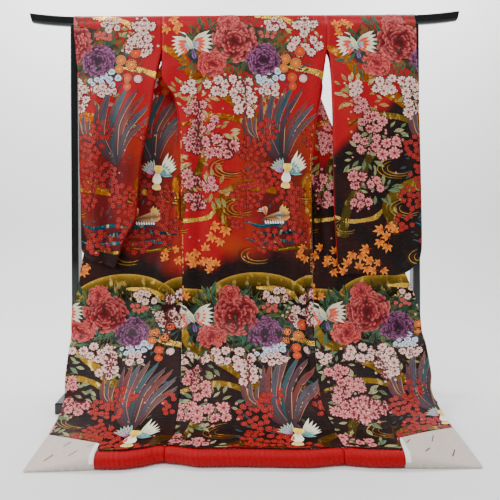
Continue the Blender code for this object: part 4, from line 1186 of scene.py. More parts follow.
    def hill(self, row, over_red):
        """A rounded hill of gold weft, bright along its crest and lost in the ground at its foot."""
        across, down, wide, high = row
        turns = np.linspace(pi, 2 * pi, HILL_COLUMNS)
        crest = [np.array([across + wide * cos(t), down + high * (1 + sin(t))]) for t in turns]
        stops = np.array([linear(colour) for colour in HILL_THREADS["red" if over_red else "black"]])
        foot = down + high * HILL_FOOT
        points, colours = [], []
        for share in np.linspace(0, 1, HILL_BANDS + 1):
            narrow = HILL_NARROWING * share
            points += [(p[0] * (1 - narrow) + across * narrow, p[1] + (foot - p[1]) * share) for p in crest]
            colours += [[np.interp(share, HILL_STOPS, stops[:, c]) for c in range(3)]] * HILL_COLUMNS
        self.add(points, grid_faces(HILL_BANDS + 1, HILL_COLUMNS), colours, self.lift("hill"), GOLD)

    def stream(self, way, width, key):
        """A band of water: dark and pale wefts side by side, breaking into light at its middle."""
        dark, pale = (linear(c) for c in STREAM_THREADS[key])
        base = self.lift("trunk")
        self.ribbon(way, (0.002, width, width * 1.1, width, 0.002), dark, dark, base, GOLD)
        upper = [(x, y - width * 0.2) for x, y in way]
        self.ribbon(upper, (0.001, width * 0.3, 0.001), pale, dark, base + MARK_LIFT, FOIL, steps=16)

    def ripple(self, row):
        """Rings of running water, each open on one side, in dark silk and gold by turns."""
        across, down, radius, rings = row
        for k in range(rings):
            reach = radius * (0.3 + 0.7 * (k + 1) / rings)
            turns = np.linspace(0.15 * pi, 1.15 * pi, 7) + 0.2 * k
            way = [(across + 1.3 * reach * cos(t), down + 0.62 * reach * sin(t)) for t in turns]
            colour, finish = (linear("#c08c34"), GOLD) if k % 2 else (linear("#2e1a0a"), SILK)
            self.ribbon(way, RING_WIDTHS, colour, colour, self.lift("ripple"), finish, steps=16)

    def trunk(self, way, thick, thin, over_red):
        """A bough of dull gold weft, with short dark marks across its bark."""
        bark = linear(BARK_THREADS["red" if over_red else "black"])
        dark = linear(BARK_THREADS["mark"])
        base = self.lift("trunk")
        self.ribbon(way, (thick, (thick + thin) / 2, thin), bark, bark, base, GOLD, 30, columns=5)
        across, down = smooth_way(way)
        marks = path_length(way) / BARK_MARK_STEP
        for k in range(int(marks)):
            t = (k + 0.5) / marks
            half = (thick + (thin - thick) * t) * 0.5
            middle = np.array([across(t), down(t)])
            tilt = 0.5 * half
            line = [middle + (-half, -tilt), middle + (0, 0.1 * half), middle + (half, -tilt)]
            self.ribbon(line, (0.001, 0.0022, 0.001), dark, dark, base + MARK_LIFT, steps=6)

    def strewn(self, low, high):
        """Single petals blown across the ground."""
        heart, tip, edge, _ = (linear(c) for c in THREADS["pink"])
        for _ in range(STREWN):
            spot = self.random.uniform(low, high)
            turn = self.random.uniform(0, 2 * pi)
            self.blade(spot, turn, STREWN_LONG, STREWN_WIDE, PETAL, heart, tip, edge, self.lift("bed"))

    def seam_stitches_and_glints(self, side):
        """Short gold stitches where the weave of the back meets its side seam. Their bright ones are partly
        painted highlight along the seam's edge.
        """
        for down in np.arange(*STITCHES):
            foot = np.array([SIGN[side] * (SEAM[side](down) - STITCH_INSIDE), down])
            colour = linear("#d89a48") if self.random.uniform() < 0.6 else linear("#6a3410")
            turn = pi / 2 + self.random.uniform(-0.25, 0.25)
            size = self.random.uniform(*STITCH_LONG)
            lift = self.lift("band")
            self.blade(foot, turn, size, STITCH_WIDE, BLADE, colour, colour, colour, lift, finish=GOLD)

    def repeat(self, middle, top, birds=True):
        """One whole repeat of the pattern, its middle and top at this place on the panel."""
        here = np.array([middle, top])

        def at(row):
            return (row[0] + middle, row[1] + top, *row[2:])

        def red(row):
            return self.red_above(row[0] + middle, row[1] + top)

        def moved(way):
            return [(x + middle, y + top) for x, y in way]

        for row in HILLS:
            self.hill(at(row), red(row))
        for way, width, gold in GOLD_BANDS:
            bright = gold == "bright_gold"
            start, end = BAND_THREADS["bright" if bright else "red" if red(way[1]) else "black"]
            widths = [width * share for share in BAND_SHAPE]
            kind, lift = FOIL if bright else GOLD, self.lift("band")
            self.ribbon(moved(way), widths, linear(start), linear(end), lift, kind, 48, columns=9)
        for row in RIPPLES:
            self.ripple(at(row))
        for way, thick, thin in TRUNKS:
            self.trunk(moved(way), thick, thin, red(way[0]))
        for way, width in BUSHES:
            dark, pale = BUSH_THREADS["red" if red(way[1]) else "black"]
            widths = [width * share for share in BUSH_SHAPE]
            self.ribbon(
                moved(way), widths, linear(dark), linear(pale), self.lift("trunk"), steps=48, columns=13,
            )
        for row in LEAVES:
            self.leaves(at(row), red(row))
        for way, width, key in STREAMS:
            self.stream(moved(way), width, key)
        for row in PLUMES:
            self.plume(at(row))
        for row in BEDS:
            across, down, wide, high, size, count, key = at(row)
            for spot in self.spots(across, down, wide, high, count, size * 0.8):
                petals = 6 if key == "frost" else 5
                self.blossom(np.array(spot), size * self.random.uniform(0.9, 1.15), key, "bed", petals)
        for row in BLOSSOMS:
            self.spray(at(row), "spray")
        for row in MAPLES:
            across, down, wide, high, size, count = at(row)
            for spot in self.spots(across, down, wide, high, count, size * 0.6):
                self.maple(np.array(spot), size * self.random.uniform(0.85, 1.2))
        for row in POMPOMS:
            across, down, width, key = at(row)
            self.pompom(np.array([across, down]), width, key)
        for row in PEONIES:
            across, down, width, key = at(row)
            self.peony(np.array([across, down]), width, key)
        for row in BIRDS:
            if birds or row[4] == "crane":
                self.bird(at(row))
        self.strewn(here + STREWN_FROM, here + STREWN_TO)


def add_node(tree, kind, values=None, links=None, **settings):
    """Adds a shader node with its settings, its socket values and its links."""
    node = tree.nodes.new(f"ShaderNode{kind}")
    for name, value in settings.items():
        setattr(node, name, value)
    for socket, value in (values or {}).items():
        node.inputs[socket].default_value = value
    for socket, source in (links or {}).items():
        tree.links.new(source, node.inputs[socket])
    return node


def new_material(name, values):
    """A material with a Principled shader that has these constant values."""
    material = bpy.data.materials.new(name)
    material.use_nodes = True
    shader = material.node_tree.nodes["Principled BSDF"]
    for socket, value in values.items():
        shader.inputs[socket].default_value = (*value, 1.0) if socket == "Base Color" else value
    return material, material.node_tree, shader


def weave_height(tree, thread, slub):
    """Threads across and down the cloth's own flat measures. thread and slub are sizes in metres."""
    cut = add_node(tree, "UVMap", uv_map="cut")
    scale = {"Scale": (1 / slub, 1 / thread, 1.0)}
    stretched = add_node(tree, "Mapping", scale, {"Vector": cut.outputs["UV"]})
    noise = {"Scale": 1.0, "Detail": 3.0, "Roughness": 0.6}
    return add_node(tree, "TexNoise", noise, {"Vector": stretched.outputs["Vector"]})


def dye_with_painted_shade(tree, threads, low, high):
    """The cloth's dye with painted shade and sheen: darker between its threads and paler along them."""
    dye = add_node(tree, "VertexColor", layer_name="dye")
    shade = add_node(
        tree, "MapRange", {"From Min": 0.3, "From Max": 0.7, "To Min": low, "To Max": high},
        {"Value": threads.outputs["Fac"]},
    )
    return add_node(
        tree, "VectorMath", links={0: dye.outputs["Color"], 1: shade.outputs["Result"]}, operation="MULTIPLY",
    )


def flecked(tree, ground, flecks, start, end, most, colour):
    """The ground with flecks of a second colour, where their noise goes from start to end."""
    share = add_node(
        tree, "MapRange", {"From Min": start, "From Max": end, "To Min": 0.0, "To Max": most},
        {"Value": flecks.outputs["Fac"]},
    )
    mixed = add_node(
        tree, "Mix", {7: (*linear(colour), 1.0)}, {0: share.outputs["Result"], 6: ground.outputs["Vector"]},
        data_type="RGBA",
    )
    return mixed.outputs[2]


def finish_weave(tree, shader, colour, height, depth):
    """Gives the shader its colour, and a relief whose height is in metres."""
    tree.links.new(colour, shader.inputs["Base Color"])
    relief = add_node(tree, "Bump", {"Distance": depth, "Strength": 1.0}, {"Height": height})
    tree.links.new(relief.outputs["Normal"], shader.inputs["Normal"])


def brocade_ground(name):
    """Dyed silk satin with gold and red weft showing through: deep colour, a low sheen and slight slubs."""
    material, tree, shader = new_material(name, {"Roughness": 0.5, "Specular IOR Level": 0.14})
    # Real threads lie 0.3 mm apart, which is too fine to show. They are drawn as slubs 2 mm by 14 mm.
    slubs = weave_height(tree, 0.002, 0.014)
    # Single gilt wefts are 0.3 mm wide. They are drawn as flecks 3 mm by 30 mm.
    wefts = weave_height(tree, 0.003, 0.03)
    # Painted shade between the slubs and painted sheen along them, then the gilt flecks of the weft
    colour = flecked(tree, dye_with_painted_shade(tree, slubs, 0.82, 1.14), wefts, 0.56, 0.72, 0.15, "#9c5a24")
    finish_weave(tree, shader, colour, slubs.outputs["Fac"], 0.0004)
    return material


def silk_floats(name):
    """Loose coloured silk wefts, as in woven and embroidered flowers: soft gloss along each petal."""
    material, tree, shader = new_material(name, {"Roughness": 0.45, "Specular IOR Level": 0.22})
    # Floats of silk are 0.5 mm wide. They are drawn 1.2 mm wide so that they show.
    strands = weave_height(tree, 0.0012, 0.006)
    # Painted shade between the strands and painted sheen along them
    dye_in_painted_shade = dye_with_painted_shade(tree, strands, 0.84, 1.1)
    finish_weave(tree, shader, dye_in_painted_shade.outputs["Vector"], strands.outputs["Fac"], 0.0003)
    return material


# Two kinds of gilt thread: name, roughness, depth of the crumple in metres, share of painted highlight in
# bright spots
GOLD_WEFT = ("gold weft", 0.3, 0.005, 0.7)
GILT_FOIL = ("gilt foil", 0.2, 0.008, 0.95)


def gold_weft(name, roughness, crumple, glint):
    """Gilt paper thread: a warm metal gleam that breaks up where the cloth bends, with painted highlights in
    pale spots.
    """
    material, tree, shader = new_material(name, {"Metallic": 1.0, "Roughness": roughness})
    # Gilt strips are 0.3 mm wide. They are drawn 2 mm wide, over a crumple of about 30 mm.
    strips = weave_height(tree, 0.002, 0.02)
    # Painted highlights: the gilt is paler in spots about 24 mm by 60 mm, for where it lies flat to the
    # light.
    spots = weave_height(tree, 0.06, 0.024)
    # Painted shade between the strips and painted sheen along them, then the painted highlights
    colour = flecked(tree, dye_with_painted_shade(tree, strips, 0.7, 1.25), spots, 0.55, 0.76, glint, "#ffdc78")
    cut = add_node(tree, "UVMap", uv_map="cut")
    creases = add_node(tree, "TexNoise", {"Scale": 34.0, "Detail": 4.0}, {"Vector": cut.outputs["UV"]})
    both = add_node(
        tree, "Math", {1: 0.25}, {0: strips.outputs["Fac"], 2: creases.outputs["Fac"]},
        operation="MULTIPLY_ADD",
    )
    finish_weave(tree, shader, colour, both.outputs["Value"], crumple)
    return material


def plain_silk(name, colour, thread=0.0016, roughness=0.48):
    """Plain-woven dyed silk: even colour with a faint cloudy sheen, painted into the colour by its slubs."""
    material, tree, shader = new_material(name, {"Roughness": roughness, "Specular IOR Level": 0.12})
    # Real threads are 0.2 mm apart. They are drawn 1.6 to 2 mm apart, in slubs seven times as long.
    slubs = weave_height(tree, thread, thread * 7)
    # Painted sheen and shade: the colour is paler where the slubs stand and darker where they dip.
    ramp = add_node(tree, "ValToRGB", links={"Fac": slubs.outputs["Fac"]})
    for stop, position, strength in zip(ramp.color_ramp.elements, (0.25, 0.75), (0.8, 1.15)):
        stop.position = position
        stop.color = (*(min(c * strength, 1.0) for c in colour), 1.0)
    finish_weave(tree, shader, ramp.outputs["Color"], slubs.outputs["Fac"], 0.0003)
    return material


def black_lacquer(colour):
    """Polished black urushi over wood: near-black with a sharp gloss and a trace of wear."""
    material, tree, shader = new_material("black lacquer", {"IOR": 1.5})
    place = add_node(tree, "TexCoord")
    dust = add_node(tree, "TexNoise", {"Scale": 45.0, "Detail": 5.0}, {"Vector": place.outputs["Object"]})
    rough = add_node(
        tree, "MapRange", {"From Min": 0.35, "From Max": 0.75, "To Min": 0.07, "To Max": 0.15},
        {"Value": dust.outputs["Fac"]},
    )
    tree.links.new(rough.outputs["Result"], shader.inputs["Roughness"])
    ramp = add_node(tree, "ValToRGB", links={"Fac": dust.outputs["Fac"]})
    ramp.color_ramp.elements[0].color = (*colour, 1.0)
    ramp.color_ramp.elements[1].color = (*(c * 2.2 + 0.002 for c in colour), 1.0)
    tree.links.new(ramp.outputs["Color"], shader.inputs["Base Color"])
    return material


def pale_paint(name, colour, roughness):
    """Matt emulsion: pale and faintly uneven. It is clear from behind, to show the cloth's inside."""
    material, tree, shader = new_material(name, {"Roughness": roughness})
    place = add_node(tree, "TexCoord")
    cloud = add_node(tree, "TexNoise", {"Scale": 1.5, "Detail": 2.0}, {"Vector": place.outputs["Object"]})
    ramp = add_node(tree, "ValToRGB", links={"Fac": cloud.outputs["Fac"]})
    ramp.color_ramp.elements[0].color = (*(c * 0.97 for c in colour), 1.0)
    ramp.color_ramp.elements[1].color = (*colour, 1.0)
    tree.links.new(ramp.outputs["Color"], shader.inputs["Base Color"])
    side = add_node(tree, "NewGeometry")
    clear = add_node(tree, "BsdfTransparent")
    seen = add_node(
        tree, "MixShader",
        links={0: side.outputs["Backfacing"], 1: shader.outputs["BSDF"], 2: clear.outputs["BSDF"]},
    )
    tree.links.new(seen.outputs["Shader"], tree.nodes["Material Output"].inputs["Surface"])
    return material


def material_named(maker, name, *values):
    """The material of this name, which its first use makes."""
    return bpy.data.materials.get(name) or maker(name, *values)


def lining_silk():
    """The plain red silk of the lining and of the padded hem."""
    return material_named(plain_silk, "lining silk", tuple(bpy.context.scene.kimono_colours.lining))


# Where the red ground turns black, as across and down, and how soft the change is
GROUND_EDGE = {
    "back": (((-0.3, 0.985), (-0.1, 0.945), (0.05, 0.925), (0.3, 0.905)), 0.03),
    "front_left": (((-0.62, 0.865), (-0.48, 0.89), (-0.36, 0.955), (-0.24, 1.0)), 0.03),
    "front_right": (((0.24, 0.56), (0.3, 0.6), (0.36, 0.56)), 0.04),
    "sleeve_left": (((-0.67, 0.44), (-0.64, 0.7), (-0.6, 0.86), (-0.34, 0.96)), 0.02),
    "sleeve_right": (((0.3, 0.56), (0.38, 0.49), (0.46, 0.415), (0.6, 0.31), (0.68, 0.3)), 0.022),
}

# A darker veil in the red ground: how far beside the width's middle, its half width and its top
VEIL_ACROSS = 0.12
VEIL_HALF = 0.105
VEIL_TOP = 0.4


def ground_edge(panel, across):
    """How far down the red ground turns black here."""
    rows, _ = GROUND_EDGE[panel]
    return np.interp(across, [row[0] for row in rows], [row[1] for row in rows])


def ground_dye(panel, across, down):
    """The cloth's own colour at each of these places, with clouds of gold and dark red in it."""
    colours = bpy.context.scene.kimono_colours
    red, black = np.array(colours.ground_red), np.array(colours.ground_black)
    glow, wine = np.array(colours.ground_glow), np.array(colours.ground_wine)
    edge = ground_edge(panel, across) + 0.012 * np.sin(across * 38) + 0.006 * np.sin(across * 97)
    soft = GROUND_EDGE[panel][1]
    below = np.clip((down - edge) / soft * 0.5 + 0.5, 0, 1)
    drifts = np.sin(across * 15 + 2.2 * np.sin(down * 11)) * np.sin(down * 13 + 1.7 * np.sin(across * 9))
    cloud = 0.5 + 0.5 * drifts
    upper = mix(red, glow, np.clip(cloud * 1.7 - 1.0, 0, 1) * np.clip((down - 0.3) / 0.25, 0, 1))
    from_middle = across - WIDTH_MIDDLE[panel] - VEIL_ACROSS - 0.02 * np.sin(down * 23)
    veil = np.exp(-((from_middle / VEIL_HALF) ** 2)) * np.clip((down - VEIL_TOP) / 0.1, 0, 1)
    upper = mix(upper, glow, np.clip(veil * 2.0, 0, 1) * (1 - veil) * 0.8)
    upper = mix(upper, np.array(colours.ground_veil), np.clip(veil * (0.75 + 0.5 * cloud), 0, 1) * 0.85)
    lower = mix(black, wine, np.clip(1.5 * cloud - 0.5, 0, 1))
    return mix(upper, lower, below)


# The finished nets, by the name of their solid, on which the floats are laid
PANELS = {}


def finish_object(piece, *nodes, slot):
    """Makes a piece move with the body and take the place of these solids."""
    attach(piece, "root")
    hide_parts(*nodes)
    return piece


def add_object(name, vertices, faces, materials, finish=None, dye=None, cut=None):
    """A mesh object in the frame's own axes, with its colours and its flat measures where it has them."""
    mesh = bpy.data.meshes.new(name)
    mesh.from_pydata([tuple(v) for v in vertices], [], faces)
    for material in materials:
        mesh.materials.append(material)
    if finish is not None:
        mesh.polygons.foreach_set("material_index", finish)
    if dye is not None:
        layer = mesh.color_attributes.new("dye", "FLOAT_COLOR", "POINT")
        dyed = np.concatenate([dye, np.ones((len(dye), 1))], 1)
        layer.data.foreach_set("color", dyed.astype(np.float32).ravel())
    if cut is not None:
        uv = mesh.uv_layers.new(name="cut")
        corner = np.empty(len(mesh.loops), np.int32)
        mesh.loops.foreach_get("vertex_index", corner)
        uv.uv.foreach_set("vector", np.asarray(cut)[corner].astype(np.float32).ravel())
    mesh.shade_smooth()
    piece = bpy.data.objects.new(name, mesh)
    bpy.context.scene.collection.objects.link(piece)
    return piece


def grid_faces(rows, columns, first=0, flip=False):
    """The faces of a net of points, row by row."""
    faces = []
    for r in range(rows - 1):
        for c in range(columns - 1):
            a = first + r * columns + c
            face = (a, a + 1, a + columns + 1, a + columns)
            faces.append(face[::-1] if flip else face)
    return faces


def rim_faces(rows, columns):
    """The faces that join the outlines of two equal nets of points, the second numbered on from the first."""
    top = list(range(columns))
    right = [r * columns + columns - 1 for r in range(1, rows)]
    bottom = [(rows - 1) * columns + c for c in range(columns - 2, -1, -1)]
    left = [r * columns for r in range(rows - 2, 0, -1)]
    outline = top + right + bottom + left
    count = rows * columns
    return [(a, b, b + count, a + count) for a, b in zip(outline, outline[1:] + outline[:1])]


def recalculated(piece):
    """Turns every face to look out, and keeps the material of each."""
    net = bmesh.new()
    net.from_mesh(piece.data)
    bmesh.ops.recalc_face_normals(net, faces=net.faces)
    net.to_mesh(piece.data)
    net.free()
    return piece


def cloth(name, net, levels, dye_panel, outward=1.0, plain_sides=("start", "end"), thick=None):
    """Lined cloth of an even wall in place of the solid of this name. Its pattern looks along outward."""
    thick = thick or wall()
    out = out_directions(net, plain_sides)
    if np.median(out[len(levels) // 2, :, 1]) * outward < 0:
        out = -out
    face, lining = net + out * thick / 2, net - out * thick / 2
    rows, columns = net.shape[:2]
    layer = grid_faces(rows, columns)
    edges = rim_faces(rows, columns)
    faces = layer + grid_faces(rows, columns, rows * columns, flip=True) + edges
    finish = [0] * len(layer) + [1] * len(layer) + [0] * len(edges)
    across = np.tile(net[..., 0].ravel(), 2)
    down = np.tile(np.repeat(levels, columns), 2)
    # The levels of a sleeve are shares of its length, so its dye goes by height
    dyed_down = np.tile((CLOTH_TOP - net[..., 2]).ravel(), 2) if "sleeve" in name else down
    steps = np.linalg.norm(np.diff(net, axis=1), axis=2)
    along = np.concatenate([np.zeros((rows, 1)), np.cumsum(steps, axis=1)], 1)
    cut = np.stack([np.tile(along.ravel(), 2), down], 1)
    vertices = to_world(np.concatenate([face.reshape(-1, 3), lining.reshape(-1, 3)]))
    silks = [material_named(brocade_ground, "brocade ground"), lining_silk()]
    dye = ground_dye(dye_panel, across, dyed_down)
    piece = recalculated(add_object(f"{name}_cloth", vertices, faces, silks, finish, dye, cut))
    return finish_object(piece, name, slot="patterned_cloth")


def lay(name, floats, panel):
    """The gathered floats as one mesh on a panel. What falls outside the cloth is cut away."""
    points = np.concatenate(floats.points)
    lifts = np.concatenate(floats.lifts)
    colours = np.concatenate(floats.colours)
    places, outside = panel.place(points[:, 0], points[:, 1], lifts)
    faces, finish = [], []
    for face, kind in zip(floats.faces, floats.finish):
        if not all(outside[list(face)]):
            faces.append(face)
            finish.append(kind)
    used = np.unique(np.concatenate([np.array(face) for face in faces]))
    new = np.full(len(points), -1)
    new[used] = np.arange(len(used))
    faces = [tuple(int(new[i]) for i in face) for face in faces]
    vertices = to_world(places[used])
    threads = [
        material_named(silk_floats, "silk floats"), material_named(gold_weft, *GOLD_WEFT),
        material_named(gold_weft, *GILT_FOIL),
    ]
    piece = add_object(name, vertices, faces, threads, finish, colours[used], points[used])
    aim_out(piece, panel)
    return piece


# The least area of a face, in square metres, and how level a face has to lie to be turned by its height
LEAST_FACE = 2e-9
LEVEL_SHARE = 0.6


def aim_out(piece, panel):
    """Turns round each face that looks into the cloth, and drops those pressed flat at an edge."""
    net = bmesh.new()
    net.from_mesh(piece.data)
    flat = [face for face in net.faces if face.calc_area() < LEAST_FACE]
    bmesh.ops.delete(net, geom=flat, context="FACES")
    middle = np.mean(panel.out, axis=(0, 1))
    away = -1.0 if to_world(middle)[1] - BAR_Y < 0 else 1.0
    for face in net.faces:
        level = abs(face.normal.y) <= abs(face.normal.z) * LEVEL_SHARE
        if (face.normal.z if level else face.normal.y * away) < 0:
            face.normal_flip()
    net.to_mesh(piece.data)
    net.free()


def panel_floats(name, seed, tops):
    """The pattern for a panel: its repeats, one below the other."""
    family = name.replace("_back", "").replace("_front", "") if name.startswith("sleeve") else name
    middle = WIDTH_MIDDLE[family]
    floats = Floats(seed, lambda across, down: down < float(ground_edge(family, across)))
    for top in tops:
        floats.repeat(middle, top, birds=name != "sleeve_left_back")
    if name == "back":
        for side in SIGN:
            floats.seam_stitches_and_glints(side)
    return floats


class KimonoSizes(bpy.types.PropertyGroup):
    """How thick the cloth is, and how its padded hem is gathered"""

    wall: bpy.props.FloatProperty(
        name="Cloth thickness", description="Thickness of the lined and lightly padded cloth", default=0.002,
        min=0.001, max=0.004, unit="LENGTH", subtype="DISTANCE",
    )
    gather_depth: bpy.props.FloatProperty(
        name="Gather depth", description="Depth of the fine gathers round the padded hem", default=0.0015,
        min=0.0, max=0.003, unit="LENGTH", subtype="DISTANCE",
    )
    gather_length: bpy.props.FloatProperty(
        name="Gather spacing", description="Distance from one gather of the hem to the next", default=0.013,
        min=0.004, max=0.05, unit="LENGTH", subtype="DISTANCE",
    )


class KimonoColours(bpy.types.PropertyGroup):
    """The dyes of the cloth, and the stand's lacquer"""

    ground_red: bpy.props.FloatVectorProperty(
        name="Red ground", description="The upper ground of the brocade", default=linear("#9c0414"), size=3,
        min=0, max=1, subtype="COLOR",
    )
    ground_glow: bpy.props.FloatVectorProperty(
        name="Orange clouds", description="Clouds of gold weft in the red ground", default=linear("#9a3a0c"),
        size=3, min=0, max=1, subtype="COLOR",
    )
    ground_veil: bpy.props.FloatVectorProperty(
        name="Maroon veil", description="Darker ground under the small red flowers",
        default=linear("#3a0a0c"), size=3, min=0, max=1, subtype="COLOR",
    )
    ground_black: bpy.props.FloatVectorProperty(
        name="Black ground", description="The lower ground of the brocade", default=linear("#100607"), size=3,
        min=0, max=1, subtype="COLOR",
    )
    ground_wine: bpy.props.FloatVectorProperty(
        name="Wine clouds", description="Clouds of red weft in the black ground", default=linear("#260a09"),
        size=3, min=0, max=1, subtype="COLOR",
    )
    lining: bpy.props.FloatVectorProperty(
        name="Lining", description="Lining and padded hem", default=linear("#9a010d"), size=3, min=0, max=1,
        subtype="COLOR",
    )
    wrap: bpy.props.FloatVectorProperty(
        name="Wraps", description="Cloth wrapped round the hem's corners", default=linear("#c8bbb2"), size=3,
        min=0, max=1, subtype="COLOR",
    )
    lacquer: bpy.props.FloatVectorProperty(
        name="Lacquer", description="Black lacquer of the stand", default=linear("#050607"), size=3, min=0,
        max=1, subtype="COLOR",
    )


class KimonoStage(bpy.types.PropertyGroup):
    """The backdrop, and where the camera stands"""

    wall_colour: bpy.props.FloatVectorProperty(
        name="Backdrop", description="Colour of the backdrop and floor", default=linear("#eef0ef"), size=3,
        min=0, max=1, subtype="COLOR",
    )
    distance: bpy.props.FloatProperty(
        name="Camera distance", description="Distance from the camera to the bar", default=2.0, min=0.5,
        unit="LENGTH", subtype="DISTANCE",
    )
    eye_height: bpy.props.FloatProperty(
        name="Eye height", description="Height of the camera above the floor", default=0.8, min=0.0,
        unit="LENGTH", subtype="DISTANCE",
    )

# The sweep of backdrop and floor: half width, the floor's near end, where it bends up, bend radius, top
SWEEP_HALF = 5.0
SWEEP_NEAR = -3.2
SWEEP_BEND = 1.1
SWEEP_RADIUS = 0.6
SWEEP_STEPS = 8
SWEEP_TOP = 3.4

# Square lights: name, place, size, power in watts, what they point at
LIGHTS = (
    ("window light", (-2.9, -1.9, 2.6), 1.8, 104, (0.0, 0.0, 0.6)),
    ("fill light", (3.0, -2.0, 1.9), 1.8, 22, (0.0, 0.0, 0.7)),
    ("floor light", (0.0, -2.2, 3.4), 2.0, 70, (0.0, -2.0, 0.0)),
    ("backdrop light left", (-1.2, 0.55, 2.7), 1.2, 66, (-0.9, 1.7, 0.9)),
    ("backdrop light right", (1.2, 0.55, 2.7), 1.2, 66, (0.9, 1.7, 0.9)),
)
DAYLIGHT = 0.38

# The camera: focal length and film width in mm, how far the frame is shifted, place across, roll in degrees
FOCAL_LENGTH = 36.86
FILM_WIDTH = 36.0
FRAME_SHIFT = -0.1224
EYE_ACROSS = 0.0176
EYE_ROLL = 0.3
class KIMONO_OT_stage(bpy.types.Operator):
    """Sets up the pale sweep, the soft lights and the camera"""

    bl_idname = "kimono.stage"
    bl_label = "Stage"

    def execute(self, context):
        stage = context.scene.kimono_stage
        paint = pale_paint("matt white paint", tuple(stage.wall_colour), 0.85)
        profile = [(SWEEP_NEAR, 0.0), (SWEEP_BEND, 0.0)]
        for k in range(1, SWEEP_STEPS + 1):
            turn = radians(90 * k / SWEEP_STEPS)
            profile.append((SWEEP_BEND + SWEEP_RADIUS * sin(turn), SWEEP_RADIUS * (1 - cos(turn))))
        profile.append((SWEEP_BEND + SWEEP_RADIUS, SWEEP_TOP))
        vertices = [(x, y, z) for y, z in profile for x in (-SWEEP_HALF, SWEEP_HALF)]
        faces = [(2 * i, 2 * i + 1, 2 * i + 3, 2 * i + 2) for i in range(len(profile) - 1)]
        sweep = add_object("sweep", vertices, faces, [paint])
        world = bpy.data.worlds.new("soft daylight")
        world.use_nodes = True
        sky = world.node_tree.nodes["Background"]
        sky.inputs["Color"].default_value = (*linear("#f2f5f6"), 1.0)
        sky.inputs["Strength"].default_value = DAYLIGHT
        context.scene.world = world
        for name, place, size, power, aim in LIGHTS:
            lamp = bpy.data.lights.new(name, "AREA")
            lamp.shape = "SQUARE"
            lamp.size = size
            lamp.energy = power
            light = bpy.data.objects.new(name, lamp)
            context.scene.collection.objects.link(light)
            light.location = place
            away = np.array(place) - np.array(aim)
            flat = hypot(away[0], away[1])
            light.rotation_euler = (atan2(flat, away[2]), 0.0, atan2(away[0], -away[1]))
        lens = bpy.data.cameras.new("eye")
        lens.lens = FOCAL_LENGTH
        lens.sensor_width = FILM_WIDTH
        lens.shift_y = FRAME_SHIFT
        camera = bpy.data.objects.new("eye", lens)
        context.scene.collection.objects.link(camera)
        camera.location = (EYE_ACROSS, BAR_Y - stage.distance, stage.eye_height)
        camera.rotation_euler = (radians(90.0), radians(EYE_ROLL), 0.0)
        context.scene.camera = camera
        return {"FINISHED"}


class KIMONO_OT_stand(bpy.types.Operator):
    """Lacquers the stand's solids"""

    bl_idname = "kimono.stand"
    bl_label = "Stand"

    def execute(self, context):
        lacquer = black_lacquer(tuple(context.scene.kimono_colours.lacquer))
        for name in ("top_bar", "post_left", "post_right", "foot_left", "foot_right", "stretcher"):
            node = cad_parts[name]
            node.data.materials.clear()
            node.data.materials.append(lacquer)
        return {"FINISHED"}


class KIMONO_OT_body(bpy.types.Operator):
    """Makes the back and the two fronts, lined in red"""

    bl_idname = "kimono.body"
    bl_label = "Back and fronts"

    def execute(self, context):
        net, drops = back_net()
        cloth("back", net, drops, "back")
        PANELS["back"] = Panel("both", net, drops)
        for side in SIGN:
            name = f"front_{side}"
            net, drops = front_net(side)
            cloth(name, net, drops, name, plain_sides=("start",))
            folded_under = np.array([TURN(drop) < FRONT_TURN[-1][1] for drop in drops])
            PANELS[name] = Panel(side, net, drops, folded_under)
        return {"FINISHED"}


class KIMONO_OT_sleeves(bpy.types.Operator):
    """Makes each sleeve's back half over the bar and its front half behind it"""

    bl_idname = "kimono.sleeves"
    bl_label = "Sleeves"

    def execute(self, context):
        for side in SIGN:
            for half, outward in (("back", 1.0), ("front", -1.0)):
                name = f"sleeve_{side}_{half}"
                net, levels = sleeve_net(side, half)
                cloth(name, net, levels, f"sleeve_{side}", outward, plain_sides=("start",))
                PANELS[name] = SleevePanel(side, net, levels, facing=outward)
        return {"FINISHED"}


class KIMONO_OT_flowers(bpy.types.Operator):
    """Lays the woven flowers, birds and gold bands on every panel"""

    bl_idname = "kimono.flowers"
    bl_label = "Woven flowers"

    def execute(self, context):
        # The panel, the seed of its random turns, and where its repeats start
        rows = (
            ("back", 11, (-0.004, REPEAT_DOWN)), ("front_left", 23, (0.0, REPEAT_DOWN + 0.004)),
            ("front_right", 37, (0.0, REPEAT_DOWN - 0.006)), ("sleeve_left_back", 41, (0.0,)),
            ("sleeve_right_back", 53, (0.0,)), ("sleeve_left_front", 67, (0.0,)),
            ("sleeve_right_front", 71, (0.0,)),
        )
        for name, seed, tops in rows:
            piece = lay(f"{name}_flowers", panel_floats(name, seed, tops), PANELS[name])
            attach(piece, "root")
        return {"FINISHED"}


class KIMONO_OT_hem(bpy.types.Operator):
    """Makes the padded red roll along the hem, with its fine gathers"""

    bl_idname = "kimono.hem"
    bl_label = "Padded hem"

    def execute(self, context):
        left, right = CORNER_TOP["left"][0][0], CORNER_TOP["right"][0][0]
        left_seam, right_seam = SEAM["left"](TRAIN_END), SEAM["right"](TRAIN_END)
        for name, start, end in (
            ("hem_roll_left", -left + SEAM_GAP, -left_seam - SEAM_GAP / 2),
            ("hem_roll_back", -left_seam + SEAM_GAP / 2, right_seam - SEAM_GAP / 2),
            ("hem_roll_right", right_seam + SEAM_GAP / 2, right - SEAM_GAP),
        ):
            piece = hem_roll(name + "_padded", start, end, context.scene.kimono_sizes)
            finish_object(piece, name, slot="red_lining")
        return {"FINISHED"}

# The padded hem: points apart along it and round it, and how deep and how far it is pulled in at a seam
HEM_STEP = 0.0042
HEM_SIDES = 40
HEM_PULL = 0.1
HEM_PULL_REACH = 0.008


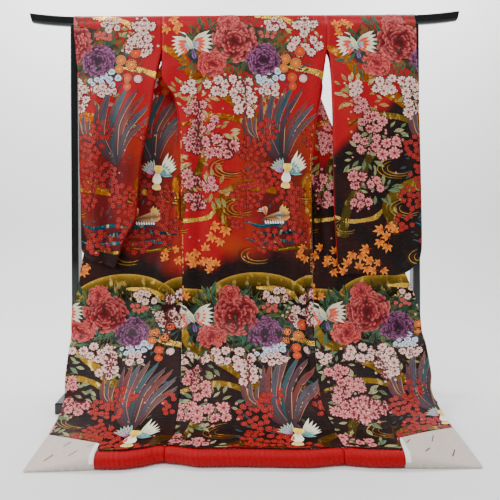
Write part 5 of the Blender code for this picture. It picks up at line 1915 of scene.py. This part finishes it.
def hem_roll(name, start, end, sizes):
    """A round padded roll with a flat underside, pulled in at its two seams and gathered all along."""
    count = max(round((end - start) / HEM_STEP), 12)
    low = acos(ROLL_MIDDLE / ROLL_RADIUS)
    vertices, cut = [], []
    for i in range(count + 1):
        across = start + (end - start) * i / count
        from_seam = min(across - start, end - across)
        pulled = 1 - HEM_PULL * exp(-((from_seam / HEM_PULL_REACH) ** 2))
        swell = 1 + 0.012 * sin(across * 41) + 0.008 * sin(across * 19 + 1)
        drift = 1.5 * sin(across * 60)
        for k in range(HEM_SIDES):
            angle = -pi / 2 + low + (2 * pi - 2 * low) * k / (HEM_SIDES - 1)
            lean = 0.35 * sin(angle)
            wave = sin(2 * pi * (across + 0.012 * lean) / sizes.gather_length + drift)
            depth = sizes.gather_depth * wave * (0.4 + 0.6 * abs(cos(angle)))
            radius = min(ROLL_RADIUS * pulled * min(swell, 1.0) + depth - sizes.gather_depth, ROLL_RADIUS)
            forward = CREST(across) + radius * cos(angle)
            height = max(ROLL_MIDDLE + radius * sin(angle), 0.0)
            vertices.append((across, forward, height))
            cut.append((across, angle * ROLL_RADIUS))
    faces = []
    for i in range(count):
        for k in range(HEM_SIDES):
            a, b = i * HEM_SIDES + k, i * HEM_SIDES + (k + 1) % HEM_SIDES
            faces.append((a, b, b + HEM_SIDES, a + HEM_SIDES))
    faces.append(tuple(range(HEM_SIDES)))
    faces.append(tuple(count * HEM_SIDES + k for k in range(HEM_SIDES)))
    return recalculated(add_object(name, to_world(vertices), faces, [lining_silk()], cut=cut))


class KIMONO_OT_corners(bpy.types.Operator):
    """Makes the pale cloth wrapped round each front corner of the hem"""

    bl_idname = "kimono.corners"
    bl_label = "Wrapped corners"

    def execute(self, context):
        wrap = plain_silk("plain wrap cloth", tuple(context.scene.kimono_colours.wrap), 0.002, 0.7)
        border = plain_silk("wrap border cloth", linear("#efe9e6"), 0.002, 0.7)
        marks = material_named(gold_weft, *GOLD_WEFT)
        for side in SIGN:
            piece = corner(side, wrap, border, marks)
            finish_object(piece, f"corner_{side}", slot="white_wrap")
        return {"FINISHED"}


# A wrapped corner: columns out and steps down, the share of them that is flat and the share that rounds off,
# rows of the border strip, depth of the ripple, and the side of its flat measure
CORNER_OUT, CORNER_DOWN = 44, 30
CORNER_FLAT, CORNER_ROUND = 0.7, 0.3
BORDER_ROWS = 3
CORNER_RIPPLE = 0.0012
CORNER_CUT = 0.2


def corner(side, wrap, border, marks):
    """A flat-bottomed wedge from the front's last row on, with a border strip and a few pine needles."""
    start, end = CORNER_TOP[side][0][0], CORNER_TOP[side][-1][0]
    tip_across, tip_forward = CORNER_TIP[side]
    crest_front = CREST(SIGN[side] * start) + ROLL_RADIUS
    inner_height = ROLL_MIDDLE + ROLL_RADIUS + wall() / 2
    top, bottom, cut = [], [], []
    for u in range(CORNER_OUT + 1):
        share = u / CORNER_OUT
        edge_across = start + (end - start) * share
        across = start + (tip_across - start) * share
        forward = crest_front + (tip_forward - crest_front) * ease(share)
        thick = inner_height + (CORNER_TIP_HEIGHT - inner_height) * (1 - (1 - share) ** CORNER_THINNING)
        nose = thick / 2
        edge_height = CORNER_HEIGHT[side](edge_across) + wall() / 2
        back_edge = np.array([edge_across, CORNER_FORWARD[side](edge_across) + wall() / 2, edge_height])
        crest = np.array([across, forward - nose, thick])
        crown = abs(thick - edge_height) * (CORNER_CROWN - 0.5) * 4
        column = []
        for k in range(CORNER_DOWN + 1):
            t = k / CORNER_DOWN
            if t <= CORNER_FLAT:
                s = t / CORNER_FLAT
                spot = back_edge + (crest - back_edge) * s
                ripple = sin(share * 23 + 3 * s) * sin(pi * s) * sin(pi * share)
                spot[2] += crown * s * (1 - s) + CORNER_RIPPLE * ripple
            else:
                turn = radians(90 * (t - CORNER_FLAT) / CORNER_ROUND)
                spot = np.array([across, forward - nose + nose * sin(turn), nose + nose * cos(turn)])
            column.append(spot)
        floor = np.array([back_edge[0], back_edge[1], 0.0])
        under = np.array([across, forward - nose * 0.5, 0.0])
        top.append(column)
        bottom.append([floor + (under - floor) * k / CORNER_DOWN for k in range(CORNER_DOWN + 1)])
        cut.append([(share * CORNER_CUT, CORNER_CUT * k / CORNER_DOWN) for k in range(CORNER_DOWN + 1)])
    top, bottom = np.array(top), np.array(bottom)
    top[..., 0] *= SIGN[side]
    bottom[..., 0] *= SIGN[side]
    rows, columns = top.shape[:2]
    count = rows * columns
    needles, needle_faces = pine_needles(side, top, 2 * count)
    wedge = grid_faces(rows, columns) + grid_faces(rows, columns, count, flip=True) + rim_faces(rows, columns)
    strip = BORDER_ROWS * (columns - 1)
    finish = [1] * strip + [0] * (len(wedge) - strip) + [2] * len(needle_faces)
    vertices = np.concatenate([top.reshape(-1, 3), bottom.reshape(-1, 3), needles])
    flat = np.array(cut).reshape(-1, 2)
    flat = np.concatenate([flat, flat, np.zeros((len(needles), 2))])
    dye = np.tile(linear("#5a3c18"), (len(vertices), 1))
    silks = [wrap, border, marks]
    name = f"corner_{side}_wrapped"
    return recalculated(add_object(name, to_world(vertices), wedge + needle_faces, silks, finish, dye, flat))


# Marks woven in the wraps: share of the way out, share of the way down, turn in degrees. Their measures are
# shares too, apart from how far they lie above the wrap.
NEEDLES = ((0.14, 0.22, 60), (0.36, 0.5, 52), (0.54, 0.2, 62), (0.72, 0.52, 56))
NEEDLE_LONG = 0.17
NEEDLE_HALF = 0.008
NEEDLE_LIFT = 0.0006


def pine_needles(side, top, first):
    """Thin gold needles on the wrap's upper side. They lean the same way on both corners."""
    rows, columns = top.shape[:2]
    points, faces = [], []
    for u, v, degrees in NEEDLES:
        turn = radians(degrees if side == "left" else 180 - degrees)
        start = first + len(points)
        for along in (-0.5, 0.0, 0.5):
            for wide in (-1, 1):
                a = u + NEEDLE_LONG * along * cos(turn) - NEEDLE_HALF * wide * sin(turn)
                b = v + NEEDLE_LONG * along * sin(turn) + NEEDLE_HALF * wide * cos(turn)
                r, c = a * (rows - 1), b * (columns - 1)
                i, j = int(r), int(c)
                spot = top[i, j] * (1 - r + i) * (1 - c + j) + top[i + 1, j] * (r - i) * (1 - c + j)
                spot = spot + top[i, j + 1] * (1 - r + i) * (c - j) + top[i + 1, j + 1] * (r - i) * (c - j)
                points.append(spot + (0, 0, NEEDLE_LIFT))
        for k in (0, 2):
            faces.append((start + k, start + k + 1, start + k + 3, start + k + 2))
    return np.array(points), faces


class KIMONO_OT_collars(bpy.types.Operator):
    """Makes the folded band on the fronts' free edges and round the neck"""

    bl_idname = "kimono.collars"
    bl_label = "Collar"

    def execute(self, context):
        for side in SIGN:
            net, levels = collar_net(side)
            cloth(f"collar_{side}", net, levels, f"front_{side}", -1.0, (), COLLAR_WALL)
        net, levels = neck_net()
        cloth("collar_neck", net, levels, "back", -1.0, thick=COLLAR_WALL)
        return {"FINISHED"}

# The collar's nets: columns and rows, the front's column that it lies parallel to, its gap to the lining
COLLAR_COLUMNS = 13
COLLAR_AIM_COLUMN = 24
COLLAR_OFF_LINING = 0.0006
NECK_ROWS = 13
NECK_COLUMNS = 33
def collar_net(side):
    """The band lies on the lining side of a front, along its free edge."""
    net, drops = front_net(side)
    out = out_directions(net, ("start",))
    offset = wall() / 2 + COLLAR_WALL / 2 + COLLAR_OFF_LINING
    narrow, wide = COLLAR_WIDE_BY_DROP
    rows, levels = [], []
    for level, points in enumerate(net):
        drop = CLOTH_TOP - points[-1][2]
        if drop > COLLAR_END_DROP:
            break
        reach = abs(points[-1][0] - points[TURN_COLUMN][0])
        past = COLLAR_PAST_EDGE + COLLAR_PAST_AT_NECK * ease((narrow - drop) / (narrow - wide))
        inside = min(COLLAR_WIDTH - past, reach - COLLAR_FROM_TURN)
        outer = points[TURN_COLUMN + 1 :]
        order = np.argsort(np.abs(outer[:, 0]))
        at = np.abs(outer[order, 0])
        aim = out[level][COLLAR_AIM_COLUMN]
        away = aim * -np.sign(aim[1])
        row = []
        for c in range(COLLAR_COLUMNS):
            across = abs(points[-1][0]) + past - (inside + past) * c / (COLLAR_COLUMNS - 1)
            place = [np.interp(across, at, outer[order, k]) for k in range(3)]
            place[0] = SIGN[side] * across
            row.append(np.array(place) + away * offset)
        rows.append(row)
        levels.append(drop)
    return np.array(rows), np.array(levels)


def neck_net():
    """The band hangs from the back's upper edge and turns out at its ends."""
    hang = -(BAR_DEPTH / 2 + CLOTH_TO_BAR + BEHIND_BAR)
    turn_start, turn_end = NECK_TURN_ACROSS
    rows, levels = [], []
    for level in range(NECK_ROWS):
        down = COLLAR_WIDTH * level / (NECK_ROWS - 1)
        row = []
        for c in range(NECK_COLUMNS):
            across = -NECK_HALF + 2 * NECK_HALF * c / (NECK_COLUMNS - 1)
            back = hang - NECK_TURN * ease((abs(across) - turn_start) / (turn_end - turn_start))
            row.append((across, back - NECK_LEAN * down, SHOULDER_LINE - SEAM_GAP - down))
        rows.append(row)
        levels.append(CLOTH_TOP - SHOULDER_LINE + down)
    return np.array(rows), np.array(levels)


class KIMONO_OT_declare(bpy.types.Operator):
    """Does nothing: no flat sizes are stated."""

    bl_idname = "kimono.declare"
    bl_label = "Flat sizes"

    def execute(self, context):
        return {"FINISHED"}


class KIMONO_PT_panel(bpy.types.Panel):
    """The kimono's sizes, colours and steps in the sidebar"""
    bl_label = "Kimono"
    bl_idname = "KIMONO_PT_panel"
    bl_space_type = "VIEW_3D"
    bl_region_type = "UI"
    bl_category = "Kimono"

    def draw(self, context):
        for group in (context.scene.kimono_sizes, context.scene.kimono_colours, context.scene.kimono_stage):
            for name in group.bl_rna.properties.keys():
                if name not in ("rna_type", "name"):
                    self.layout.prop(group, name)
        for operator in OPERATORS:
            self.layout.operator(operator.bl_idname)


GROUPS = (
    (KimonoSizes, "kimono_sizes"), (KimonoColours, "kimono_colours"), (KimonoStage, "kimono_stage"),
)
OPERATORS = (
    KIMONO_OT_stage, KIMONO_OT_stand, KIMONO_OT_body, KIMONO_OT_sleeves, KIMONO_OT_collars, KIMONO_OT_hem,
    KIMONO_OT_corners, KIMONO_OT_flowers, KIMONO_OT_declare,
)


def register():
    """Registers the property groups, the operators and the panel."""
    for group, name in GROUPS:
        bpy.utils.register_class(group)
        setattr(bpy.types.Scene, name, bpy.props.PointerProperty(type=group))
    for operator in OPERATORS:
        bpy.utils.register_class(operator)
    bpy.utils.register_class(KIMONO_PT_panel)


def unregister():
    """Takes back what register does, in the other order."""
    bpy.utils.unregister_class(KIMONO_PT_panel)
    for operator in reversed(OPERATORS):
        bpy.utils.unregister_class(operator)
    for group, name in reversed(GROUPS):
        delattr(bpy.types.Scene, name)
        bpy.utils.unregister_class(group)


def main():
    """Makes the stage and every piece in order."""
    register()
    bpy.ops.kimono.stage()
    bpy.ops.kimono.stand()
    bpy.ops.kimono.body()
    bpy.ops.kimono.sleeves()
    bpy.ops.kimono.collars()
    bpy.ops.kimono.hem()
    bpy.ops.kimono.corners()
    bpy.ops.kimono.flowers()
    bpy.ops.kimono.declare()


if __name__ == "__main__":
    main()
